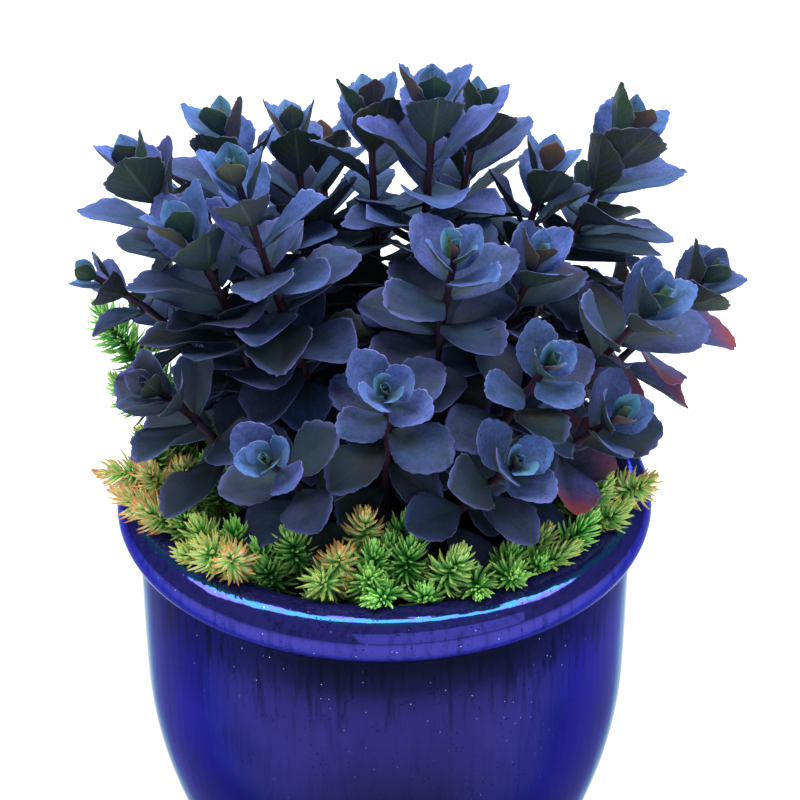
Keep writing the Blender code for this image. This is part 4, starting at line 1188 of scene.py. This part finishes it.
def needleFaces():
    sides, rings = needleShape["sides"], len(needleShape["rings"])
    last = (rings - 1) * sides
    tip = [(last + k, last + (k + 1) % sides, rings * sides) for k in range(sides)]
    return [tuple(reversed(range(sides))), *bandFaces(rings, sides), *tip]


fineNeedleFaces = needleFaces()
needleAlong = [share for share in needleShape["rings"] for _ in range(needleShape["sides"])] + [1.0]


# One needle from its root, which leaves the stem along out and curls towards the stem's own direction
def fineNeedle(root, out, up, length, girth):
    shape = needleShape
    side = out.cross(up).normalized()
    over = side.cross(out).normalized()
    curve = math.radians(shape["curve"])
    points = []
    for t, width in zip(shape["rings"], shape["girths"]):
        bend = curve * t
        middle = root + (out * math.sin(bend) + over * (1 - math.cos(bend))) * (length / curve)
        rise = over * math.cos(bend) - out * math.sin(bend)
        for k in range(shape["sides"]):
            a = math.tau * k / shape["sides"]
            around = side * math.cos(a) + rise * (math.sin(a) * shape["flat"])
            points.append(middle + around * width * girth)
    points.append(root + (out * math.sin(curve) + over * (1 - math.cos(curve))) * (length / curve))
    return points


# Short green sprays that fill in low round a tuft's foot, most of them darkened by painted shade
def fillerSprays(foot, draw):
    shape, found = needleShape, []
    for _ in range(shape["fillers"]):
        a, r = draw.uniform(0, math.tau), draw.uniform(*shape["fillersApart"])
        root = foot + Vector((math.cos(a) * r, math.sin(a) * r, 0))
        away = root.xy.length
        outward = Vector((root.x / away, root.y / away, 0))
        if away < shape["fillersWithin"]:
            end = root + outward * draw.uniform(*shape["fillerLean"])
            end = end + Vector((0, 0, draw.uniform(*shape["fillerRise"])))
            line = sprayLine(root, end / mm, shape["fillerSteep"])
            found.append((line, 0, draw.uniform(*shape["fillerSunAndShade"])))
    return found


# Points of a needle at a place on the stem, or None. It lifts towards the stem's tip until it is clear.
def clearNeedle(base, up, away, angle, length, draw, blocked):
    for lift in needleShape["lifts"]:
        tilt = math.radians(max(4, angle + lift))
        out = up * math.cos(tilt) + away * math.sin(tilt)
        girth = needleShape["width"] * draw.uniform(*needleShape["widths"])
        points = fineNeedle(base, out, up, length, girth)
        if not inPotOrSoil([points[-1], points[len(points) // 2]]) and not blocked(base, points[-1]):
            return points
    return None


# Each spray is its line, whether it is a branch, and how sunned it is, with painted shade below 0
def makeTuft(plan, finishes, sunAndShadeValues, blocked):
    draw = random.Random(plan["name"] + "Look")
    shape = needleShape
    gathered = Gathered("needleMap")
    sprays = [(spray["line"], spray["order"], next(sunAndShadeValues)) for spray in plan["sprays"]]
    for number, (x, y), tip, sunAndShade in moreSprays:
        if plan["name"].endswith(f"{number:02d}"):
            sprays.append((sprayLine(Vector((x * mm, y * mm, soilShape["top"])), tip, 1.0), 0, sunAndShade))
    for line, branch, sunAndShade in sprays + fillerSprays(plan["foot"], draw):
        reach = lengthOf(line)
        foot, end = sprayShape["branchFoot" if branch else "foot"], shape["twigTip"]
        gathered.add(*stemTube(line if branch else rooted(line), shape["twigSides"],
                               lambda d, whole: end + (foot - end) * min(1.0, d / whole)), slot=1)
        trailing = reach >= shape["trailingFrom"]
        leafy = reach * shape["trailingLeafy"] if trailing else shape["leafy"]
        leafy = min(reach * shape["mostLeafy"], leafy)
        count = int(leafy * 1000 * shape["trailingPerMillimetre" if trailing else "perMillimetre"])
        for k in range(count):
            share = (k + 0.5) / count
            distance = leafy * share**1.1
            base, up = atDistance(line, distance)
            near = min(1.0, distance / shape["crowded"])
            angle = shape["tipAngle"] + shape["spread"] * near**0.6 + shape["droop"] * share
            angle += draw.uniform(-shape["stray"], shape["stray"])
            length = shape["length"] * (0.5 + 0.5 * near) * (1 - 0.25 * share)
            length *= draw.uniform(*shape["lengths"])
            turn = k * goldenAngle + draw.uniform(-shape["turnStray"], shape["turnStray"])
            away = across(up, 0.0) * math.cos(turn) + up.cross(across(up, 0.0)) * math.sin(turn)
            points = clearNeedle(base, up, away, angle, length, draw, blocked)
            if points:
                needleSunAndShade = sunAndShade * draw.uniform(*shape["ripeSpan"])
                kind = np.column_stack([needleAlong, np.full(len(points), needleSunAndShade),
                                        np.full(len(points), share)])
                gathered.add(points, fineNeedleFaces, needleMap=kind)
    name = "stonecropTuft" + plan["name"][-2:]
    return makePiece(name, gathered.mesh(name), finishes, plan["name"])


# True where a straight line between two points meets a leaf or a stem of the broad-leaved plants
def blocker(taken):
    held = [(centre, radius, tree) for name, centre, radius, tree, _ in taken if name.startswith("sedum")]

    def blocked(start, end):
        ahead = end - start
        length = ahead.length
        middle = (start + end) / 2
        for centre, radius, tree in held:
            near = (centre - middle).length < radius + length / 2
            if near and tree.ray_cast(start, ahead / length, length)[0]:
                return True
        return False

    return blocked


# Studio

# Puts a lamp or the camera at a place and turns it to its aim
def point(thing, place, aim):
    thing.location = place
    thing.rotation_euler = (Vector(aim) - Vector(place)).to_track_quat("-Z", "Y").to_euler()


def matteFloor():
    look = floorLook
    paint = Surface("matteWhiteStudioFloor", Roughness=0.9, Specular_IOR_Level=0.1,
                    Emission_Color="#ffffff", Emission_Strength=look["glow"])
    cloud = paint.add("noise", paint.place, 3.0, 2.0)
    return paint.shade(Base_Color=paint.add("ramp", cloud, (0.3, look["colour"]), (0.7, look["worn"])))


def makeStudio():
    half = floorLook["size"] / 2
    mesh = bpy.data.meshes.new("studioFloor")
    corners = [(-half, -half, 0), (half, -half, 0), (half, half, 0), (-half, half, 0)]
    mesh.from_pydata(corners, [], [(0, 1, 2, 3)])
    mesh.materials.append(matteFloor())
    floor = bpy.data.objects.new("studioFloor", mesh)
    bpy.context.scene.collection.objects.link(floor)
    for name, look in lightLook.items():
        lamp = bpy.data.lights.new(name, "AREA")
        lamp.shape = "RECTANGLE"
        lamp.size, lamp.size_y = look["size"]
        lamp.energy = look["watts"]
        lamp.color = linearColour(look["colour"])[:3]
        light = bpy.data.objects.new(name, lamp)
        point(light, look["place"], look["aim"])
        light.visible_camera = False
        bpy.context.scene.collection.objects.link(light)
    world = bpy.data.worlds.new("softSky")
    world.use_nodes = True
    background = world.node_tree.nodes["Background"]
    background.inputs["Color"].default_value = linearColour(worldLook["colour"])
    background.inputs["Strength"].default_value = worldLook["strength"]
    bpy.context.scene.world = world
    bpy.context.scene.view_settings.view_transform = "Standard"


def makeCamera():
    lens = bpy.data.cameras.new("photoCamera")
    lens.lens, lens.sensor_width = cameraLook["lens"], cameraLook["sensor"]
    lens.clip_start, lens.clip_end = 0.01, 50
    camera = bpy.data.objects.new("photoCamera", lens)
    point(camera, cameraLook["place"], cameraLook["aim"])
    bpy.context.scene.collection.objects.link(camera)
    bpy.context.scene.camera = camera


makeCamera()
makeStudio()
print("studio: camera, floor and lights are set")

taken = []
shootPlans = planShoots(taken)
tuftPlans = planTufts(taken)
growLeaves(shootPlans, taken)
print("layout:", sum(len(plan["leaves"]) for plan in shootPlans), "leaves and buds are placed")

makePot(cobaltGlaze())
makeSoil(pottingMix())
print("pot and soil are made")

leafFinishes = [waxyLeaf(), fleshyStem()]
for plan in shootPlans:
    makeShoot(plan, leafFinishes)
print("broad-leaved shoots are made:", len(shootPlans))

needleFinishes = [succulentNeedle(), stonecropStem()]
blocked = blocker(taken)
sunAndShadeValues = iter(spraySunAndShade * 2)
for plan in tuftPlans:
    makeTuft(plan, needleFinishes, sunAndShadeValues, blocked)
print("stonecrop tufts are made:", len(tuftPlans))
